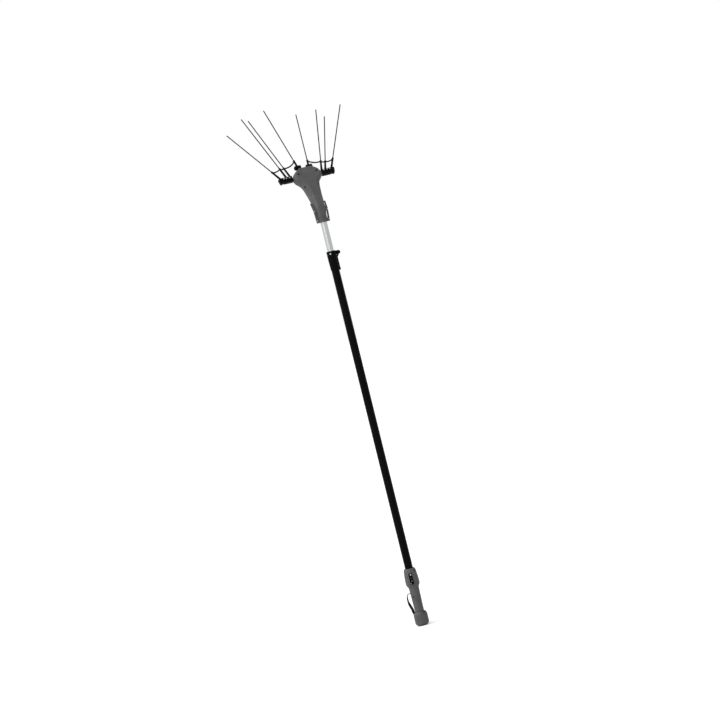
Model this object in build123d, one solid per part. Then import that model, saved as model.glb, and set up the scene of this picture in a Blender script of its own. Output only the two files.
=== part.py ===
from build123d import *
from math import acos, asin, atan2, cos, degrees, pi, radians, sin, tan
import os

# Electric olive harvester: two powered rakes on a telescopic pole.
# Millimetres and degrees. +Z runs up the pole, the origin is the centre of the
# butt's underside, the switch faces -Y and the head leans back towards +Y.

# Clearances
press_clearance = 0.02
fit_clearance = 0.05
running_clearance = 0.3
slide_clearance = 0.4
parting_gap = 0.3

# Telescopic pole
outer_tube_od = 37.0
outer_tube_wall = 1.5
inner_tube_od = 30.0
inner_tube_wall = 1.5
clamp_top = 1768.0
inner_tube_showing = 137.0
inner_tube_hidden = 1133.0
tube_in_handle = 96.0
tube_in_neck = 52.0
bush_length = 45.0
bush_lip = 5.0
lead_radius = 3.0
coil_thickness = 5.8

# Handle and butt
handle_turn = -20.0
handle_length = 269.0
handle_wall = 2.8
grip_low_radius = 21.2
grip_high_radius = 23.8
bulge_radius = 32.4
rim_radius = 28.0
rim_height = 8.0
rim_step = 4.0
swell_drop = 70.0
waist_drop = 92.0
butt_length = 65.0
butt_radius = 32.3
butt_wall = 3.5
butt_shoulder = 4.0
spigot_length = 12.0
foot_height = 5.0
foot_radius = 23.0
socket_radius = 12.5
socket_wall = 2.5
socket_length = 30.0
contact_radius = 1.5
contact_offset = 5.0
contact_recess = 9.0
board_y = 3.0
board_thickness = 1.6

# Screws of the handle and the head
screw_shank_radius = 1.7
screw_head_radius = 3.2
screw_head_height = 2.6
screw_slot = 1.0
handle_screw_tip = 14.0
rim_screw_depth = 12.0
grip_screw_depth = 13.5
rim_boss_x = 22.5
rim_boss_drop = 13.0
grip_boss_x = 11.0
grip_boss_height = 72.0
handle_boss_wall = 1.6
lobe_screw_head = 4.6
lobe_screw_depth = 26.5
flank_screw_depth = 16.0
head_screw_tip = 16.0
head_boss_radius = 3.6

# Switch panel on the front of the handle
panel_width = 27.0
panel_length = 58.0
panel_height = 223.0
panel_corner = 6.0
panel_groove = 0.6
panel_recess = 6.5
panel_seat = 3.0
bezel_depth = 3.2
bezel_rise = 1.2
bezel_width = 17.0
bezel_length = 52.0
bezel_corner = 3.0
bezel_offset = -1.0
switch_body_depth = 5.0
rocker_width = 10.0
rocker_length = 22.0
rocker_rise = 2.6
rocker_dish = 25.0
rocker_y = -3.0
rocker_axle_drop = 2.4
rocker_axle_radius = 1.2
rocker_tip = 8.0
rocker_side_gap = 0.4
rocker_end_gap = 0.8
button_radius = 3.0
button_rise = 2.4
button_travel = 1.5
button_x = 1.4
button_drop = 7.0
lens_radius = 1.8
lens_rise = 1.5
lens_x = -6.0
lens_lift = 4.5

# Wrist strap of webbing
strap_width = 13.0
strap_thickness = 2.0
strap_reach = 19.0
strap_span = 90.0
strap_in_butt = 3.5
strap_slot_turns = (180.0, -46.0)

# Clamp at the top of the outer tube
clamp_length = 87.0
collar_radius = 21.5
collar_foot_radius = 20.3
collar_grip_length = 42.0
collar_screw_radius = 2.0
collar_screw_turns = (-30.0, 150.0)
collar_screw_drop = 12.5
hinge_reach = 31.0
hinge_drop = 11.0
hinge_pin_radius = 2.5
ear_radius = 9.0
ear_thickness = 5.0
lever_width = 14.4
lever_thickness = 4.0
lever_sink = 1.2
cam_radius = 6.5
cam_offset = 1.2
pad_height = 15.0

# Head housing
bend_angle = 25.0
neck_length = 60.0
neck_half_width = 18.0
neck_swell = 2.0
flange_low_half = 31.8
flange_high_half = 37.0
flange_depth = 3.0
flange_above_bend = 38.0
neck_bolt_radius = 2.0
neck_bolt_head = 3.3
neck_bolt_edge = 3.9
neck_bolt_rises = (10.0, 55.0)
low_window = ((20.0, -44.0), (25.0, -44.0), (27.3, -9.0), (22.3, -9.0))
high_window = ((23.5, 5.0), (28.2, 5.0), (31.5, 32.0), (26.3, 32.0))
pivot_height = 179.0
throat_half_width = 26.5
lobe_half_width = 69.0
head_depth = 29.0
crown_height = 44.0
housing_wall = 3.0
ridge_rise = 6.0
ridge_start = 2.0
ridge_corner = 5.0
ridge_back = 8.0
lobe_screw_inset = 24.8
lobe_screw_rise = 8.5
flank_screw_reach = 8.0
flank_screw_drop = 59.0

# Drive
swing = 8.0
rest_swing = 6.0
right_fork_arm = 36.0
left_fork_arm = 25.0
cam_disc_radius = 10.0
cam_disc_height = 6.0
cam_bearing_radius = 13.5
cam_bearing_width = 4.0
fork_clearance = 1.0
fork_prong = 4.6
fork_wall = 5.0
journal_radius = 7.5
output_bearing_radius = 14.0
carrier_thickness = 3.5
motor_radius = 21.0
motor_length = 67.0
motor_shaft_radius = 2.5
can_wall = 2.0
magnet_thickness = 3.2
end_bell_height = 14.0
end_bell_wall = 3.0
commutator_radius = 6.0
core_slots = 10
gear_module = 0.8
sun_teeth = 12
planet_teeth = 18
planet_count = 3
planet_pin_radius = 2.0
pressure_angle = 25.0
tooth_play = 0.2
ring_gear_radius = 23.0
gear_case_length = 21.0

# Rakes
rake_shaft_radius = 6.0
rake_shaft_in_bar = 40.0
rake_bearing_radius = 14.0
rake_bearing_width = 8.0
seal_radius = 9.0
seal_width = 7.0
fork_width = 8.8
fork_hub_radius = 12.0
arm_width = 17.6
arm_half_depth = 5.2
arm_hub_radius = 13.0
arm_head_height = 16.0
bar_gap = 2.5
bar_length = 67.0
bar_height = 27.0
bar_below = 8.5
bar_depth = 22.0
bolt_radius = 1.5
bolt_height = 11.5
bolt_reaches = (14.2, 30.0, 42.0)
tine_radius = 2.5
tine_length = 298.0
sleeve_radius = 4.9
sleeve_length = 46.0
inner_sleeve_length = 28.0
left_tine_leans = (13.0, -5.7, 4.1, 2.2)
right_tine_leans = (-11.0, 5.6, -3.7, 4.0)
tine_tip_rounding = 2.0
outer_tines = ((126.8, 26.8), (96.7, 20.8), (78.1, 15.8))
inner_tine = (28.5, 10.4)
spacer_radius = 3.2
spacer_height = 9.0
spacer_sag = 0.14

# Places worked out from the sizes above
UPRIGHT = (Align.CENTER, Align.CENTER, Align.MIN)
ACROSS = Rot(0, 90, 0)
FORWARD = Rot(90, 0, 0)
outer_radius = outer_tube_od / 2
outer_bore = outer_radius - outer_tube_wall
inner_radius = inner_tube_od / 2
inner_tube_bottom = clamp_top - inner_tube_hidden
spigot_bottom = butt_length - spigot_length
butt_bottom = foot_height - 2.0
outer_tube_bottom = handle_length - tube_in_handle
outer_tube_top = clamp_top - collar_grip_length
hinge_height = clamp_top - hinge_drop
pad_outer_face = hinge_reach - cam_radius - cam_offset - running_clearance
handle_boss_radius = screw_shank_radius + handle_boss_wall
panel_back = bulge_radius - panel_recess
panel_tilt = degrees(atan2(bulge_radius - rim_radius, handle_length - panel_height + 20.0))
PANEL = Plane((0, -bulge_radius + 1.4, panel_height), x_dir=(1, 0, 0),
              z_dir=(0, -cos(radians(panel_tilt)), sin(radians(panel_tilt))))
button_y = bezel_length / 2 - button_drop
lens_place = (lens_x, lens_lift - bezel_length / 2)
strap_top = butt_length + strap_span
strap_foot = butt_length - strap_in_butt
neck_bottom = clamp_top + inner_tube_showing
bend_point = neck_bottom + neck_length
HANDLE = Rot(0, 0, handle_turn)
HEAD = Pos(0, 0, bend_point) * Rot(-bend_angle, 0, 0)
NECK = Rot(bend_angle, 0, 0)
flange_slope = (flange_high_half - flange_low_half) / (neck_length + flange_above_bend)
lower_cam = pivot_height - right_fork_arm
upper_cam = pivot_height - left_fork_arm
lower_throw = right_fork_arm * tan(radians(swing))
upper_throw = left_fork_arm * tan(radians(swing))
cam_angle = -degrees(asin(tan(radians(rest_swing)) / tan(radians(swing))))
plate_top = lower_cam - 6.0
ring_top = plate_top - 6.0
carrier_top = ring_top - 0.5
gear_top = carrier_top - carrier_thickness - 0.5
motor_top = ring_top - gear_case_length
motor_bottom = motor_top - motor_length
bell_bore = motor_radius - 1 - end_bell_wall
ring_teeth = sun_teeth + 2 * planet_teeth
gear_centres = gear_module * (sun_teeth + planet_teeth) / 2
inner_bearing = 2.0
fork_inner = inner_bearing + rake_bearing_width + 0.6
fork_outer = fork_inner + fork_width
arm_inner = fork_outer + 1.0
arm_outer = arm_inner + arm_width
outer_bearing = lobe_half_width - 19.0
seal_start = outer_bearing + rake_bearing_width
bar_inner = lobe_half_width + bar_gap
bar_outer = bar_inner + bar_length
shaft_end = bar_inner + rake_shaft_in_bar
bar_top = bar_height - bar_below


def disc(radius, low, high):
    """A cylinder on the Z axis between two heights."""
    return Pos(0, 0, low) * Cylinder(radius, high - low, align=UPRIGHT)


def ring(outer, inner, low, high):
    """A washer on the Z axis between two heights."""
    return disc(outer, low, high) - disc(inner, low - 1, high + 1)


def block(x_low, x_high, y_low, y_high, z_low, z_high):
    """A box between two corners."""
    middle = Pos((x_low + x_high) / 2, (y_low + y_high) / 2, (z_low + z_high) / 2)
    return middle * Box(x_high - x_low, y_high - y_low, z_high - z_low)


def stick(start, end, radius, end_radius=None):
    """A round bar or taper from one point to another."""
    run = Vector(*end) - Vector(*start)
    place = Plane(Vector(*start), z_dir=run)
    if end_radius is None:
        return place * Cylinder(radius, run.length, align=UPRIGHT)
    return place * Cone(radius, end_radius, run.length, align=UPRIGHT)


def front_prism(x, z, width, length, corner, y_front, y_back):
    """A rounded rectangle seen from the front, run from one depth to another."""
    face = Plane.XZ * Pos(x, z) * RectangleRounded(width, length, corner)
    return extrude(Pos(0, y_back, 0) * face, y_back - y_front)


def turned(*edges):
    """The solid of revolution of an outline of radius and height."""
    return revolve(Plane.XZ * make_face(edges), Axis.Z)


def group(shapes):
    """Separate solids that share one node."""
    return Compound([solid for shape in shapes for solid in shape.solids()])


def both_sides(shape):
    """A shape with its mirror image across the middle plane."""
    return shape + mirror(shape, Plane.YZ)


# Handle

def handle_solid(inset, low, high):
    """The grip and the bulge above it, drawn in by a wall."""
    waist = handle_length - waist_drop
    swell = handle_length - swell_drop
    low_point = (grip_low_radius - inset, butt_length)
    waist_point = (grip_high_radius - inset, waist)
    swell_point = (bulge_radius - inset, swell)
    rim_point = (rim_radius - inset, handle_length - rim_height)
    middle = (grip_low_radius + 0.9 - inset, (butt_length + waist) / 2)
    top_radius = rim_radius - rim_step - inset
    outline = (
        Line((0, low), (grip_low_radius - inset, low)),
        Line((grip_low_radius - inset, low), low_point),
        Spline(low_point, middle, waist_point, tangents=((0, 1), (0.06, 1))),
        Spline(waist_point, swell_point, tangents=((0.06, 1), (0, 1))),
        Spline(swell_point, rim_point, tangents=((0, 1), (-0.12, 1))),
        Line(rim_point, (top_radius, handle_length)),
        Line((top_radius, handle_length), (0, handle_length)),
        Line((0, handle_length), (0, low)),
    )
    return turned(*outline) & disc(2 * bulge_radius, low, high)


def handle_screw_places():
    """Where the handle's screws stand, as x and z, seen from the front."""
    return ((rim_boss_x, handle_length - rim_boss_drop), (-grip_boss_x, butt_length + grip_boss_height))


def front_screw(x, z, front, tip, head_radius=screw_head_radius):
    """A cross-head screw driven in from the front, from its head's face to its tip behind the split."""
    head = disc(head_radius, front - screw_head_height, front)
    shank = disc(screw_shank_radius, -tip, front - screw_head_height)
    slot = block(-screw_slot / 2, screw_slot / 2, -2.2, 2.2, front - 1.2, front + 1)
    cross = slot + Rot(0, 0, 90) * slot
    return Pos(x, 0, z) * FORWARD * (head + shank - cross)


def screw_hole(x, z, front, tip, head_radius=screw_head_radius):
    """The recess and pilot hole that a front screw sits in."""
    recess = disc(head_radius + fit_clearance, front - screw_head_height, 60)
    pilot = disc(screw_shank_radius + fit_clearance, -tip - 1, front)
    return Pos(x, 0, z) * FORWARD * (recess + pilot)


def shelf(low, high, bore):
    """A web across a hollow body with a round seat in it."""
    return block(-200, 200, -200, 200, low, high) - disc(bore, low - 1, high + 1)


def handle_shells():
    """The front and rear halves of the handle."""
    tube_bore = disc(outer_radius + fit_clearance, outer_tube_bottom, handle_length + 1)
    panel_bed = front_prism(0, panel_height, panel_width + 6, panel_length + 6, panel_corner,
                            -60, panel_seat - panel_back)
    solid_parts = [
        shelf(outer_tube_bottom + 4, outer_tube_bottom + 14, outer_radius),
        shelf(outer_tube_bottom - 3, outer_tube_bottom, inner_radius),
        panel_bed,
    ]
    for x, z in handle_screw_places():
        solid_parts.append(Pos(x, 0, z) * FORWARD * disc(handle_boss_radius, -30, 30))
    cavity = handle_solid(handle_wall, spigot_bottom - 1, handle_length - rim_height) - solid_parts
    pocket = front_prism(0, panel_height, panel_width + 2 * panel_groove, panel_length + 2 * panel_groove,
                         panel_corner + panel_groove, -60, -panel_back)
    window = front_prism(bezel_offset, panel_height, bezel_width - 2, bezel_length - 2, 2, -60, -18)
    strap_slot = block(-40, -grip_low_radius + 6, -strap_width / 2 - 0.4, strap_width / 2 + 0.4,
                       strap_top - strap_thickness, strap_top + strap_thickness)
    cuts = [screw_hole(x, z, handle_screw_depth(x), handle_screw_tip) for x, z in handle_screw_places()]
    cuts += [cavity, tube_bore, pocket, window, strap_slot]
    body = handle_solid(0, spigot_bottom, handle_length) - cuts
    front_space = block(-60, 60, -60, -parting_gap / 2, 0, handle_length + 1)
    rear_space = block(-60, 60, parting_gap / 2, 60, 0, handle_length + 1)
    return body & front_space, body & rear_space


def handle_screw_depth(x):
    """How far in front of the split a handle screw's head lies."""
    return rim_screw_depth if x == rim_boss_x else grip_screw_depth


def on_panel(width, length, corner, low, high, x=0.0, y=0.0):
    """A rounded block on the switch panel, by its height off the panel."""
    face = Pos(x, y, low) * RectangleRounded(width, length, corner)
    return extrude(face, high - low)


def switch_panel():
    """The inset plate round the switches, flush with the bulge."""
    seat = -panel_back - fit_clearance
    plate = front_prism(0, panel_height, panel_width, panel_length, panel_corner, -60, seat)
    plate &= handle_solid(0.2, spigot_bottom, handle_length)
    hole = on_panel(bezel_width + 0.2, bezel_length + 0.2, bezel_corner + 0.1, -20, 20, bezel_offset)
    return plate - PANEL * hole


def rocker_space(low, high):
    """The opening that the rocker tips in."""
    width = rocker_width + 2 * rocker_side_gap
    length = rocker_length + 2 * rocker_end_gap
    return on_panel(width, length, 1, low, high, 0, rocker_y)


def switch_bezel():
    """The black surround that carries the rocker, the button and the lens."""
    floor = -bezel_depth
    body = on_panel(bezel_width, bezel_length, bezel_corner, floor, bezel_rise)
    body -= rocker_space(floor - 1, 3)
    body -= Pos(button_x, button_y) * disc(button_radius + fit_clearance, floor - 1, 3)
    body -= Pos(*lens_place) * disc(lens_radius + fit_clearance, floor - 1, 3)
    axle = ACROSS * disc(rocker_axle_radius + fit_clearance, 0.8 - bezel_width / 2, bezel_width / 2 - 0.8)
    return PANEL * Pos(bezel_offset, 0) * (body - Pos(0, rocker_y, -rocker_axle_drop) * axle)


def rocker_switch():
    """The rocker, dished towards its middle, on its own axle stubs, tipped to off."""
    top = rocker_axle_drop + rocker_rise
    body = on_panel(rocker_width, rocker_length, 0.8, -rocker_axle_radius, top)
    dish = Pos(0, 0, top + rocker_dish - 1.1) * ACROSS * disc(rocker_dish, -rocker_width, rocker_width)
    axle = ACROSS * disc(rocker_axle_radius, 1 - bezel_width / 2, bezel_width / 2 - 1)
    place = PANEL * Pos(bezel_offset, rocker_y, -rocker_axle_drop) * Rot(rocker_tip, 0, 0)
    return place * (body - dish + axle)


def mode_button():
    """The round push button above the rocker."""
    cap = Pos(button_x, button_y) * disc(button_radius, button_travel - bezel_depth + 0.1, button_rise)
    return PANEL * Pos(bezel_offset, 0) * chamfer(cap.edges().group_by(Axis.Z)[-1], 0.5)


def indicator_lens():
    """The small lamp window below the rocker."""
    return PANEL * Pos(bezel_offset, 0) * Pos(*lens_place) * disc(lens_radius, -bezel_depth, lens_rise)


def switch_body():
    """The switch block behind the bezel."""
    high = -bezel_depth - 0.2
    body = on_panel(bezel_width - 3, bezel_length - 5, 1.5, high - switch_body_depth, high)
    body -= rocker_space(-rocker_axle_drop - 3.4, 0)
    axle_space = ACROSS * disc(rocker_axle_radius + running_clearance, -bezel_width, bezel_width)
    body -= Pos(0, rocker_y, -rocker_axle_drop) * axle_space
    return PANEL * Pos(bezel_offset, 0) * body


def butt():
    """The round butt cap that closes the bottom of the handle."""
    low = butt_bottom
    sole = butt_radius - 8.5
    shoulder = grip_low_radius + butt_shoulder
    outline = (
        Line((0, low), (sole, low)),
        ThreePointArc((sole, low), (butt_radius - 2.4, low + 5.6), (butt_radius, low + 15)),
        Line((butt_radius, low + 15), (butt_radius, butt_length - 17)),
        ThreePointArc((butt_radius, butt_length - 17), (butt_radius - 1.4, butt_length - 9),
                      (shoulder, butt_length)),
        Line((shoulder, butt_length), (0, butt_length)),
        Line((0, butt_length), (0, low)),
    )
    body = turned(*outline)
    body -= disc(grip_low_radius + fit_clearance, spigot_bottom, butt_length + 1)
    body -= disc(grip_low_radius - handle_wall, spigot_bottom - 4, spigot_bottom + 1)
    body -= disc(butt_radius - butt_wall, low + 15, spigot_bottom - 4)
    body -= disc(socket_radius + fit_clearance, 0, low + 16)
    body -= disc(foot_radius + fit_clearance, 0, foot_height)
    slot = block(grip_low_radius + 1.2, 60, -strap_width / 2 - 0.6, strap_width / 2 + 0.6,
                 butt_length - 9, butt_length + 1)
    return body - [Rot(0, 0, turn) * slot for turn in strap_slot_turns]


def foot_pad():
    """The rubber ring that the butt stands on."""
    pad = ring(foot_radius, socket_radius + 1.5, 0, foot_height)
    return fillet(pad.edges().group_by(Axis.Z)[0].sort_by(SortBy.RADIUS)[-1], 1.5)


def power_socket():
    """The cup that takes the supply plug, open at the bottom."""
    cup = disc(socket_radius, butt_bottom, socket_length)
    cup -= disc(socket_radius - socket_wall, 0, socket_length - 3)
    for x in (-contact_offset, contact_offset):
        cup -= Pos(x, 0) * disc(contact_radius + press_clearance, 0, socket_length + 1)
    return cup


def socket_contacts():
    """The two supply pins in the socket."""
    pins = [Pos(x, 0) * disc(contact_radius, butt_bottom + contact_recess, socket_length + 4)
            for x in (-contact_offset, contact_offset)]
    return group(pins)


def control_board():
    """The circuit board between the screw bosses, with the parts that stand on it."""
    half = grip_boss_x - handle_boss_radius - running_clearance
    face = board_y + board_thickness
    middle = (butt_length + outer_tube_bottom) / 2
    board = block(-half, half, board_y, face, butt_length + 4, outer_tube_bottom - 12)
    capacitor = Pos(-half / 2, face + half / 2, middle) * Cylinder(half / 2, 22)
    power_block = block(1, half, face, face + 7, middle - 16, middle + 14)
    terminals = block(1 - half, half - 1, face, face + 6, butt_length + 8, butt_length + 18)
    return group([board, capacitor, power_block, terminals])


# Wrist strap

def strap_route():
    """Points of the strap's middle line as x and z, from its top end down."""
    out = grip_low_radius + strap_reach
    return (
        (-grip_low_radius + 1.0, strap_top),
        (-grip_low_radius - 7.0, strap_top),
        (-out + 3.0, strap_top - 5.0),
        (-out, strap_top - 18.0),
        (-out, strap_top - 36.0),
        (-out + 2.5, strap_top - 54.0),
        (-out + 7.0, strap_top - 72.0),
        (-grip_low_radius - strap_width / 2 - 1.6, strap_foot),
    )


def wrist_strap():
    """A band of webbing that leaves the grip edge on and turns flat to the front."""
    points = [Vector(x, 0, z) for x, z in strap_route()]
    twists = (0, 0, 0, 0, 8, 60, 85, 90)
    sections = []
    for place, point in enumerate(points):
        before = points[max(place - 1, 0)]
        after = points[min(place + 1, len(points) - 1)]
        run = (after - before).normalized()
        face = Plane(point, x_dir=(0, 1, 0), z_dir=run) * Rot(0, 0, -twists[place])
        sections.append(face * Rectangle(strap_width, strap_thickness))
    return loft(sections)


# Pole and clamp

def outer_tube():
    """The black lower tube of the pole."""
    return ring(outer_radius, outer_radius - outer_tube_wall, outer_tube_bottom, outer_tube_top)


def inner_tube():
    """The bright upper tube that slides in the lower one."""
    return ring(inner_radius, inner_radius - inner_tube_wall,
                inner_tube_bottom, neck_bottom + tube_in_neck)


def slide_bush():
    """The nylon bush on the lower end of the inner tube."""
    low = inner_tube_bottom
    outside = outer_bore - 0.2
    bush = ring(outside, inner_radius + press_clearance, low, low + bush_length)
    return bush + ring(outside, inner_radius - inner_tube_wall, low - bush_lip, low)


def coiled_lead():
    """The coiled supply lead in the lower tube, as one sleeve of its outer size."""
    outside = outer_bore - 0.7
    top = inner_tube_bottom - bush_lip - 1
    return ring(outside, outside - coil_thickness, outer_tube_bottom + 0.5, top)


def clamp_collar():
    """The collar on the lower tube, with the two ears that carry the lever."""
    bottom = clamp_top - clamp_length
    waist = (bottom + clamp_top) / 2
    body = turned(
        Line((0, bottom), (collar_foot_radius, bottom)),
        Line((collar_foot_radius, bottom), (collar_radius, waist)),
        Line((collar_radius, waist), (collar_radius, clamp_top)),
        Line((collar_radius, clamp_top), (0, clamp_top)),
        Line((0, clamp_top), (0, bottom)),
    )
    body = chamfer(body.edges().group_by(Axis.Z)[-1], 1.0)
    ear_low = lever_width / 2 + running_clearance
    ear_high = ear_low + ear_thickness
    hinge = Pos(hinge_reach, 0, hinge_height) * FORWARD
    ear = block(8, hinge_reach, ear_low, ear_high, hinge_height - ear_radius, hinge_height + ear_radius)
    ear += hinge * disc(ear_radius, -ear_high, -ear_low)
    body = body + ear + mirror(ear, Plane.XZ)
    body -= disc(outer_radius + fit_clearance, bottom - 1, outer_tube_top)
    body -= disc(inner_radius + slide_clearance, outer_tube_top - 1, clamp_top + 1)
    channel = collar_radius - lever_sink - running_clearance
    body -= block(channel, hinge_reach, -ear_low, ear_low, bottom - 1, hinge_height)
    half = pad_height / 2 + 0.2
    body -= block(5, hinge_reach + 20, -ear_low, ear_low, hinge_height - half, hinge_height + half)
    body -= hinge * disc(hinge_pin_radius + press_clearance, -40, 40)
    for place in collar_screw_places():
        body -= place * disc(collar_screw_radius + fit_clearance, inner_radius + 1.5, 40)
    return body


def collar_screw_places():
    """Where the collar's screws point in towards the pole."""
    height = Pos(0, 0, clamp_top - collar_screw_drop)
    return tuple(Rot(0, 0, turn) * height * FORWARD for turn in collar_screw_turns)


def collar_screws():
    """The bright screws in the collar."""
    shank = disc(collar_screw_radius, inner_radius + 2, collar_radius)
    head = disc(2 * collar_screw_radius, collar_radius, collar_radius + 2.4)
    screw = shank + fillet(head.edges().group_by(Axis.Z)[-1], 1.2)
    return group([place * screw for place in collar_screw_places()])


def brake_pad():
    """The pad that the lever's cam presses on the inner tube."""
    half_width = lever_width / 2
    half = pad_height / 2
    pad = block(8, pad_outer_face, -half_width, half_width, hinge_height - half, hinge_height + half)
    return pad - disc(inner_radius + running_clearance, 0, clamp_top + 50)


def clamp_lever():
    """The lever that lies along the pole, with its cam."""
    half_width = lever_width / 2
    tip = clamp_top - clamp_length - 6
    inside = collar_radius - lever_sink
    outside = inside + lever_thickness
    face = Polygon((hinge_reach - 3.4, hinge_height - 5), (inside, hinge_height - 24),
                   (inside, tip + 14), (inside + 1.6, tip), (outside + 1.2, tip + 2), (outside, tip + 18),
                   (outside, hinge_height - 22), (hinge_reach + 5.8, hinge_height - 2), align=None)
    arm = extrude(Plane.XZ * fillet(face.vertices(), 1.2), half_width, both=True)
    hinge = Pos(hinge_reach, 0, hinge_height) * FORWARD
    knuckle = hinge * disc(cam_radius, -half_width, half_width)
    cam = Pos(-cam_offset, 0, 0) * knuckle
    return arm + knuckle + cam - hinge * disc(hinge_pin_radius + fit_clearance, -40, 40)


def hinge_pin():
    """The pin that the lever turns on."""
    half = lever_width / 2 + running_clearance + ear_thickness
    return Pos(hinge_reach, 0, hinge_height) * FORWARD * disc(hinge_pin_radius, -half, half)


# Head housing, in the head's own frame: origin at the bend, +Z up the head

def head_station(tilt, height, half_width, front, back):
    """One rounded cross-section of the housing."""
    corner = 0.74 * min(half_width, (front + back) / 2)
    place = Rot(tilt, 0, 0) * Pos(0, (back - front) / 2, height)
    return place * RectangleRounded(2 * half_width, front + back, corner)


def head_stations():
    """Height over the pivot, share of the flare, and depth, from the bend to the crown."""
    return (
        (42 - pivot_height, 0.03, 0.96),
        (-109, 0.10, 1.00),
        (-79, 0.20, 1.02),
        (-57, 0.29, 1.02),
        (-41, 0.42, 1.00),
        (-30, 0.58, 0.98),
        (-18, 0.84, 0.95),
        (-5, 1.00, 0.92),
        (7, 1.00, 0.89),
        (21, 0.82, 0.84),
        (31, 0.58, 0.77),
        (39, 0.33, 0.69),
        (crown_height, 0.08, 0.60),
    )


def housing_solid(inset):
    """The housing's body from the neck to the crown, drawn in by a wall."""
    sections = []
    if inset:
        sections.append(head_station(bend_angle, tube_in_neck - neck_length - 1, 12, 12, 12))
    else:
        for height, swell in ((-neck_length, 0.0), (-neck_length / 2, neck_swell)):
            half = neck_half_width + swell
            sections.append(head_station(bend_angle, height, half, half, half))
    middle = (neck_half_width + throat_half_width) / 2 - inset
    sections.append(head_station(bend_angle / 2, 0, middle, middle, middle))
    for above, flare, depth in head_stations():
        half_width = throat_half_width + flare * (lobe_half_width - throat_half_width) - inset
        drop = inset if above == crown_height else 0
        deep = depth * head_depth - inset
        sections.append(head_station(0, pivot_height + above - drop, half_width, deep, deep))
    return loft(sections)


def ridge_solid():
    """The raised band down the front of the housing."""
    stations = ((bend_angle, ridge_start - neck_length, 12.5, neck_half_width - 3.0),
                (bend_angle, -neck_length / 2, 14.5, neck_half_width + 1.0),
                (bend_angle / 2, 0, 18.0, head_depth - 4.0),
                (0, 60, 20.5, head_depth),
                (0, pivot_height - 89, 21.7, head_depth + 0.5),
                (0, pivot_height - 66, 23.3, head_depth + 0.5),
                (0, pivot_height - 49, 26.8, head_depth),
                (0, pivot_height - 30, 37.0, head_depth - 2.0),
                (0, pivot_height - 17, 51.0, head_depth - 4.0),
                (0, pivot_height + 1, 60.0, head_depth - 5.5),
                (0, pivot_height + 19, 56.0, head_depth - 7.5),
                (0, pivot_height + 31, 44.0, head_depth - 9.0),
                (0, pivot_height + crown_height - 3, 33.0, head_depth - 11.0))
    sections = []
    for tilt, height, half_width, front in stations:
        depth = front + ridge_rise - ridge_back
        place = Rot(tilt, 0, 0) * Pos(0, -ridge_back - depth / 2, height)
        sections.append(place * RectangleRounded(2 * half_width, depth, ridge_corner))
    return loft(sections)


def flange_solid():
    """The flat bolting flange on both sides of the neck, bent with it, with two openings on the right."""
    low = flange_plate(-neck_length, 4) - flat_piece(low_window, flange_depth + 1)
    high = flange_plate(-2, flange_above_bend) - flat_piece(high_window, flange_depth + 1)
    return NECK * low + high


def flange_half(height):
    """Half the flange's width at a height over the bend."""
    return flange_low_half + flange_slope * (height + neck_length)


def flat_piece(outline, half_depth):
    """A plate seen from the front, as deep behind the split as before it."""
    return extrude(Plane.XZ * Polygon(*outline, align=None), half_depth, both=True)


def flange_plate(low, high):
    """One stretch of the flange between two heights."""
    wide, wider = flange_half(low), flange_half(high)
    return flat_piece(((-wide, low), (wide, low), (wider, high), (-wider, high)), flange_depth)


def head_screw_places():
    """Where the housing screws stand, as x and z in the head's frame, then their depth and head."""
    lobe = lobe_half_width - lobe_screw_inset
    flank = throat_half_width + flank_screw_reach
    places = []
    for side in (-1, 1):
        places.append((side * lobe, pivot_height + lobe_screw_rise, lobe_screw_depth, lobe_screw_head))
        places.append((side * flank, pivot_height - flank_screw_drop, flank_screw_depth, screw_head_radius))
    return places


def head_front_space(reach):
    """The space in front of the bent split plane."""
    edge = -parting_gap / 2
    foot_y = reach * sin(radians(bend_angle)) + edge
    foot_z = -reach * cos(radians(bend_angle))
    outline = Polygon((edge, reach), (edge, 0), (foot_y, foot_z), (-reach, foot_z), (-reach, reach),
                      align=None)
    return extrude(Plane.YZ * outline, reach, both=True)


def head_shells():
    """The front and rear halves of the housing."""
    body = housing_solid(0)
    solid_parts = [
        shelf(motor_bottom + 22, motor_bottom + 30, motor_radius + fit_clearance),
        shelf(motor_top - 14, motor_top - 6, motor_radius + fit_clearance),
        shelf(motor_top - 1, plate_top, ring_gear_radius + fit_clearance),
        bearing_webs(),
    ]
    shaft_space = disc(rake_shaft_radius + running_clearance, -lobe_half_width, lobe_half_width)
    shaft_space = Pos(0, 0, pivot_height) * ACROSS * shaft_space
    for x, z, front, head_radius in head_screw_places():
        solid_parts.append(Pos(x, 0, z) * FORWARD * disc(head_boss_radius, -40, 40) - shaft_space)
    cavity = housing_solid(housing_wall) - solid_parts
    cuts = [screw_hole(x, z, front, head_screw_tip, head_radius)
            for x, z, front, head_radius in head_screw_places()]
    cuts += [place * disc(neck_bolt_radius + fit_clearance, -20, 20) for place in neck_bolt_places()]
    cuts.append(NECK * disc(inner_radius + fit_clearance, -neck_length - 1, tube_in_neck - neck_length))
    cuts.append(both_sides(rake_slot()))
    cuts.append(cavity)
    outside = body + ridge_solid() + flange_solid()
    front_space = head_front_space(400.0)
    front = outside & front_space
    rear = outside - Pos(0, parting_gap, 0) * front_space
    for cut in cuts:
        front = front - cut
        rear = rear - cut
    return front, rear


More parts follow.
